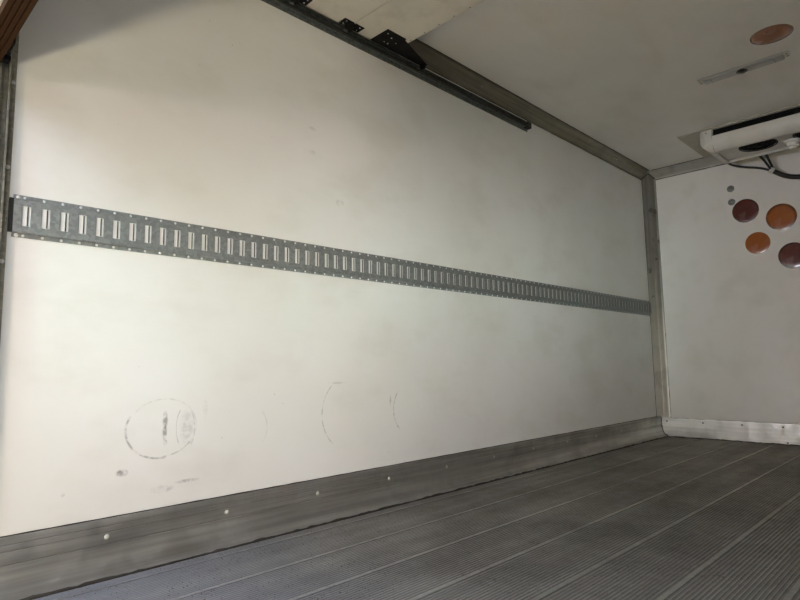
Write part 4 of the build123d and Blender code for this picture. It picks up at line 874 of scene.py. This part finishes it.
def make_track_fittings():
    """Rubber sleeves on the level tracks' ends, rivets and bolts along the tracks."""
    dark = []
    spots = []
    half = TRACK_HALF + 0.0048
    end = line_y + TRACK_END + 0.0018
    z0 = deck_z + ROLLER_LINE - half
    stop = Form().boxes((wall_x - TRACK_DEPTH - 0.0022, end - 0.048, z0),
                        (wall_x - 0.0032, end, z0 + 2 * half))
    for y in steps(line_y + TRACK_RADIUS + 0.12, line_y + TRACK_END - 0.02, 0.300):
        dark += both(wall_x - 0.0025, y, deck_z + ROLLER_LINE - TRACK_HALF - 0.0105, LEFT)
    for up in (0.30, 0.62, 0.94, 1.22, 1.48, 1.74):
        spots += both(wall_x - 0.0025, line_y + TRACK_HALF + 0.0105, deck_z + up, LEFT)
    stop.piece("track_end_stops", black_rubber, "black_rubber", bevel=0.003)
    hexes(spots, 0.0052, 0.0040).piece("track_bolts", bright_steel, "galvanised")
    heads(dark, 0.0050, 0.0026, 12).piece("track_rivets", level_zinc, "galvanised")


def make_cove_splices():
    """Cover plates where lengths of the ceiling trim meet."""
    form = Form()
    spots = []
    for side in SIDES:
        a = Vector((side * (wall_x - 0.0040), 0, ceiling_z - COVE_WALL + 0.0155))
        b = Vector((side * (wall_x - COVE_CEILING + 0.0155), 0, ceiling_z - 0.0040))
        reach = (b - a).length
        inward = Vector((-side, 0, -1)).normalized() * 0.0006
        outline = [(0, -0.032), (reach, -0.032), (reach, 0.032), (0, 0.032)]
        for y in (mark_y + 2.335, mark_y + 4.100):
            form.prism(outline, a + Vector((0, y, 0)) + inward, (b - a).normalized(), FRONT, 0.0016 * side)
            for dy in (-0.018, 0.018):
                spots.append(((a + b) / 2 + inward * 4 + Vector((0, y + dy, 0)), (-side, 0, -1)))
    form.piece("cove_splices", cove_metal, "trim_aluminium", bevel=0.0005)
    heads(spots, 0.0040, 0.0022, 10).piece("cove_splice_rivets", bright_steel, "trim_aluminium")


def make_cooler_housing():
    """Screws, end seams, louvre strip and its backing on the evaporator."""
    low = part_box("evaporator_housing")[0]
    y_face = low.y
    spots = both(0.4420, y_face + 0.0035, ceiling_z - 0.030, (0.25, -1, -0.1))
    spots += both(0.4300, y_face + 0.0280, ceiling_z - 0.142, (0, -0.6, -0.8))
    for back in (0.130, 0.370):
        spots += both(0.4180, y_face + back, low.z + 0.0060, DOWN)
    heads(spots, 0.0046, 0.0026, 12).piece("housing_screws", hinge_black, "black_steel")

    seams = Form()
    bend = ((0.0142, 0.0070), (0.0002, 0.0655), (0.0018, 0.0900), (0.0130, 0.1290), (0.0300, 0.1520),
            (0.0510, 0.1636), (0.0780, 0.1640))
    for x in (-0.4066, 0.4066):
        seams.tube([(x, y_face + back, ceiling_z - down) for back, down in bend], 0.0010, 6)
    seams.piece("housing_seams", unit_black, "unit_black")

    strip = Form().prism([(0, 0), (0.011, 0), (0.011, 0.0034), (0.002, 0.0034)],
                         (0.4005, y_face + 0.0020, ceiling_z - 0.0068), FRONT, DOWN, 0.801)
    strip.piece("louvre_strips", unit_white, "unit_plastic", bevel=0.0008)
    back = Form().box((-0.398, y_face + 0.032, ceiling_z - 0.0640),
                      (0.398, y_face + 0.0345, ceiling_z - 0.0065))
    back.piece("louvre_backing", unit_black, "unit_black", smooth=False, bevel=0.0006)


def make_cooler_fans():
    """Guards' wires, which end at the housing's rim, a shroud round each fan, and the drain's cup."""
    y_fan = middle_of("evaporator_fan_left").y
    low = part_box("evaporator_housing")[0]
    rim = low.y + 0.088 + 0.003
    guard_low, guard_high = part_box("evaporator_fan_guards")
    wires = Form()
    shroud = Form()
    for x in (-FAN_X, FAN_X):
        for i in range(8):
            radius = 0.036 + 0.0105 * i
            arcs = [[]]
            for a in around(72) + [2 * pi]:
                point = (x + radius * sin(a), y_fan + radius * cos(a), guard_low.z - 0.0006)
                if point[1] > rim:
                    arcs[-1].append(point)
                elif arcs[-1]:
                    arcs.append([])
            for arc in arcs:
                if len(arc) > 2:
                    wires.tube(arc, 0.0011, 6)
        for a in around(12, 0.5):
            reach = 0.114
            while y_fan + reach * cos(a) < rim:
                reach -= 0.002
            wires.tube([(x + r * sin(a), y_fan + r * cos(a), guard_low.z + 0.0012)
                        for r in (0.024, reach)], 0.0011, 6)
        wires.turned([(0.027, 0.0), (0.027, 0.003), (0.020, 0.006), (0, 0.007)], (x, y_fan, guard_low.z),
                     DOWN, 32)
        shroud.turned([(0.1135, 0.0), (0.1105, 0.046), (0.1135, 0.046), (0.1165, 0.0)],
                      (x, y_fan, guard_high.z + 0.0045), steps=64, hoop=True)
    wires.piece("evaporator_guard_wires", unit_black, "unit_black")
    shroud.piece("evaporator_fan_shrouds", unit_black, "unit_black")

    cup = [(0.046, 0.0), (0.046, 0.010), (0.043, 0.014), (0.035, 0.016), (0.034, 0.034), (0.037, 0.036),
           (0.037, 0.042), (0.033, 0.044), (0.022, 0.045), (0.020, 0.058), (0.017, 0.060), (0, 0.060)]
    fitting = Form().turned(cup, (0.030, low.y + 0.248, low.z + 0.012), DOWN, 48)
    fitting.piece("drain_fitting", filler_white, "unit_plastic")


def make_springs():
    """Wound springs and their end cones, round the counterbalance shaft."""
    low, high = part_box("counterbalance_springs")
    y = (low.y + high.y) / 2
    z = (low.z + high.z) / 2
    wire = 0.0030
    radius = (high.z - low.z) / 2 - wire
    start = 0.080
    length = high.x - start
    count = round(length / 0.0072) * 18
    cone = [(0.0160, -0.010), (0.0300, -0.010), (0.0330, -0.006), (0.0330, 0.006), (0.0300, 0.010),
            (0.0160, 0.010)]
    form = Form()
    for side in SIDES:
        points = []
        for k in range(count + 1):
            a = 2 * pi * k / 18
            points.append((side * (start + wire + (length - 2 * wire) * k / count),
                           y + radius * cos(a), z + radius * sin(a)))
        form.tube(points, wire, 6)
        for x in (start, high.x):
            form.turned(cone, (side * x, y, z), RIGHT, 28)
    springs = form.piece("door_spring_coils", hinge_black, "black_steel", sharp=60)
    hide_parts("counterbalance_springs")


def make_outside_rivets():
    """Rivet rows along the outer rails and front posts, where they hold the skins."""
    spots = []
    bottom_low, bottom_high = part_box("bottom_rails")
    top_low, top_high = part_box("top_rails")
    post_low, post_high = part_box("front_corner_posts")
    front = post_low.y - 0.020
    nose = post_high.y
    low_z = bottom_high.z - 0.020
    high_z = top_low.z + 0.020
    inner = post_high.x - 0.0915
    pitch = 0.0762
    for y in steps(bottom_low.y + 0.030, front, pitch):
        spots += both(bottom_high.x, y, low_z, RIGHT) + both(bottom_high.x, y, low_z - 0.090, RIGHT)
        spots += both(top_high.x, y, high_z, RIGHT) + both(inner, y, top_high.z, UP)
    for z in steps(low_z + 0.060, high_z - 0.030, pitch):
        spots += both(top_high.x, front + 0.036, z, RIGHT) + both(inner, nose, z, FRONT)
    for x in steps(-inner + pitch, inner - 0.030, pitch):
        spots += [((x, nose + 0.001, low_z), FRONT), ((x, nose, high_z), FRONT)]
    heads(spots, 0.0058, 0.0030, 8).piece("outer_rivets", bright_steel, "trim_aluminium")


def make_rear_fittings():
    """Grommets, lamp bases and bolts on the rear frame."""
    z = middle_of("tail_lamps").z
    ring = [(0.0580, -0.001), (0.0580, 0.0040), (0.0560, 0.0068), (0.0525, 0.0080), (0.0502, 0.0066),
            (0.0502, -0.001)]
    grommets = Form()
    for x in (0.380, 0.500, 0.620):
        for place, out in both(x, rear_y, z, REAR):
            grommets.turned(ring, place, out, 40, hoop=True)
    grommets.piece("tail_lamp_grommets", black_rubber, "black_rubber")
    bases = Form()
    lamp_low, lamp_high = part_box("marker_lamps")
    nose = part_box("top_rails")[1].y
    rows = [(x, rear_y - 0.0040, rear_y + 0.0005) for x in (-1.169, -0.150, 0.0, 0.150, 1.169)]
    rows += [(x, nose - 0.0005, nose + 0.0040) for x in (-1.0655, 1.0655)]
    for x, y0, y1 in rows:
        bases.box((x - 0.037, y0, lamp_low.z - 0.004), (x + 0.037, y1, lamp_high.z + 0.004))
    bases.piece("marker_lamp_bases", black_rubber, "black_rubber", bevel=0.0015)
    spots = []
    bumper_low, bumper_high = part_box("dock_bumpers")
    for z in (bumper_low.z + 0.035, bumper_high.z - 0.035):
        spots += both(bumper_high.x - 0.090, bumper_low.y, z, REAR)
    hexes(spots, 0.0120, 0.0070).piece("dock_bumper_bolts", bright_steel, "galvanised")
    spots = []
    for z in (0.42, 0.90, 1.38, 1.86, 2.34):
        spots += both(1.1590, rear_y, z, REAR)
    for x in (0.30, 0.60, 0.90):
        spots += both(x, rear_y, 2.3200, REAR)
    heads(spots, 0.0100, 0.0042, 16).piece("rear_frame_bolts", bright_steel, "frame_steel")


def make_nose_fittings():
    """Fine wires over the condenser's guards, and its housing's screws and seams."""
    guard_low, guard_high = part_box("condenser_fan_guards")
    fan = middle_of("condenser_fan_left")
    radius = (guard_high.z - guard_low.z) / 2
    y = guard_low.y + 0.0018
    wires = Form()
    for x in (-abs(fan.x), abs(fan.x)):
        for i in range(12):
            r = 0.052 + i * (radius - 0.060) / 12
            wires.tube([(x + r * sin(a), y, fan.z + r * cos(a)) for a in around(64)], 0.0013, 6,
                       closed=True)
        for a in around(16, 0.5):
            wires.tube([(x + r * sin(a), y - 0.0022, fan.z + r * cos(a))
                        for r in (0.040, radius - 0.004)], 0.0013, 6)
    wires.piece("condenser_guard_wires", unit_black, "unit_black")
    low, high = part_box("condenser_housing")
    spots = []
    for z in (low.z + 0.060, (low.z + high.z) / 2, high.z - 0.060):
        for back in (0.030, 0.210):
            spots += both(high.x, low.y + back, z, RIGHT)
    heads(spots, 0.0075, 0.0040, 14).piece("condenser_screws", hinge_black, "black_steel")
    seams = Form().boxes((high.x, low.y + 0.120, low.z + 0.055),
                         (high.x + 0.0012, low.y + 0.1225, high.z - 0.055))
    seams.piece("condenser_seams", hinge_black, "black_steel", smooth=False)


def make_underside():
    """Bolts that hold the crossmembers to the long sills."""
    low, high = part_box("crossmembers")
    sill_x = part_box("long_sills")[1].x
    spots = []
    for y in steps(low.y + 0.029, high.y, 0.30145):
        for x in (sill_x + 0.014, sill_x - 0.055):
            spots += both(x, y, low.z, DOWN)
    hexes(spots, 0.0090, 0.0070).piece("crossmember_bolts", bright_steel, "galvanised")


# Lamps that the camera doesn't see: place, target, width, height, power, tint and spread in degrees.
# Daylight comes low through the doorway, the beams even it out on the left wall, and three soft lamps
# stand round the outside.
INSIDE = (-1.0, -0.8, 1.0)
CENTRE = (0, 0, 1.2)
LAMPS = {
    "doorway_far": ((-0.8, -9.5, 0.32), INSIDE, 2.78, 0.50, 169, (0.906, 0.905, 1.0), 180),
    "doorway_side": ((3.2, -4.35, 0.33), INSIDE, 0.52, 0.20, 60, (1.0, 0.960, 0.833), 180),
    "doorway_warm": ((0.4, -4.35, 0.34), INSIDE, 0.60, 0.18, 15, (1.0, 0.70, 0.05), 180),
    "doorway_sky": ((0.5, -4.7, 3.3), (-0.5, -1.0, 0.4), 3.2, 1.6, 133, (0.692, 0.797, 1.0), 180),
    "beam_front": ((1.6, -5.4, 0.70), (-1.1555, 0.0, 1.17), 1.34, 0.42, 4.8, (0.83, 0.98, 1.0), 30),
    "beam_rear": ((0.4, -7.0, 0.70), (-1.1555, -2.2, 1.17), 1.90, 0.62, 2.5, (0.60, 1.0, 0.84), 12),
    "beam_middle": ((3.0, -7.0, 1.00), (-1.1555, -1.2, 1.17), 1.90, 0.62, 3.0, (1.0, 0.66, 0.64), 24),
    "studio_left": ((-7.5, -1.0, 3.2), CENTRE, 6.0, 4.0, 235, (1.0, 0.99, 0.97), 180),
    "studio_right": ((8.0, 2.0, 3.2), CENTRE, 6.0, 4.0, 265, (0.98, 0.99, 1.0), 180),
    "studio_front": ((0.5, 10.0, 3.2), CENTRE, 5.0, 4.0, 285, (1.0, 1.0, 1.0), 180),
}


def make_light():
    for name, (place, target, width, height, power, tint, spread) in LAMPS.items():
        light = bpy.data.lights.new(name, "AREA")
        light.shape = "RECTANGLE"
        light.size = width
        light.size_y = height
        light.energy = power
        light.color = tint
        light.spread = radians(spread)
        holder = put(name, light)
        holder.location = place
        holder.rotation_euler = (Vector(target) - Vector(place)).to_track_quat("-Z", "Y").to_euler()
        holder.visible_camera = False
    bpy.context.scene.view_settings.view_transform = "Standard"


def make_world():
    """Pale background, and soft light from high above only, so that it stays outside the doorway."""
    world = bpy.data.worlds.new("studio")
    bpy.context.scene.world = world
    world.use_nodes = True
    tree = world.node_tree
    tree.nodes.clear()
    rays = add(tree, "LightPath").outputs
    shown = rays["Is Camera Ray"]
    for kind in ("Is Glossy Ray", "Is Transmission Ray"):
        shown = add(tree, "Math", {0: shown, 1: rays[kind]}, operation="MAXIMUM").outputs[0]
    way = add(tree, "SeparateXYZ", {0: add(tree, "TexCoord").outputs["Generated"]}).outputs["Z"]
    inputs = {"Value": way, "From Min": 0.50, "From Max": 0.75, "To Min": 0.04, "To Max": 0.85}
    above = add(tree, "MapRange", inputs)
    felt = add(tree, "Background", {"Color": (0.95, 0.97, 1.0), "Strength": above.outputs["Result"]})
    seen = add(tree, "Background", {"Color": (0.86, 0.87, 0.88)})
    share = add(tree, "MixShader", {"Fac": shown, 1: felt.outputs[0], 2: seen.outputs[0]})
    add(tree, "OutputWorld", {"Surface": share.outputs[0]})


def make_floor():
    data = bpy.data.meshes.new("studio_floor")
    reach = 30.0
    corners = [(-reach, -reach, 0), (reach, -reach, 0), (reach, reach, 0), (-reach, reach, 0)]
    data.from_pydata(corners, [], [(0, 1, 2, 3)])
    data.materials.append(Look("studio_floor").finish((0.72, 0.72, 0.71), 0.7))
    put("studio_floor", data)


make_camera()
make_hoses(black_rubber)
make_light()
make_world()
make_floor()
make_rail_fixings()
make_liner_fittings()
make_kick_fittings()
make_trim_sealant()
make_wall_bolts()
make_dots()
make_lamp_fittings()
make_door_fittings()
make_track_fittings()
make_cove_splices()
make_cooler_housing()
make_cooler_fans()
make_springs()
make_outside_rivets()
make_rear_fittings()
make_nose_fittings()
make_underside()
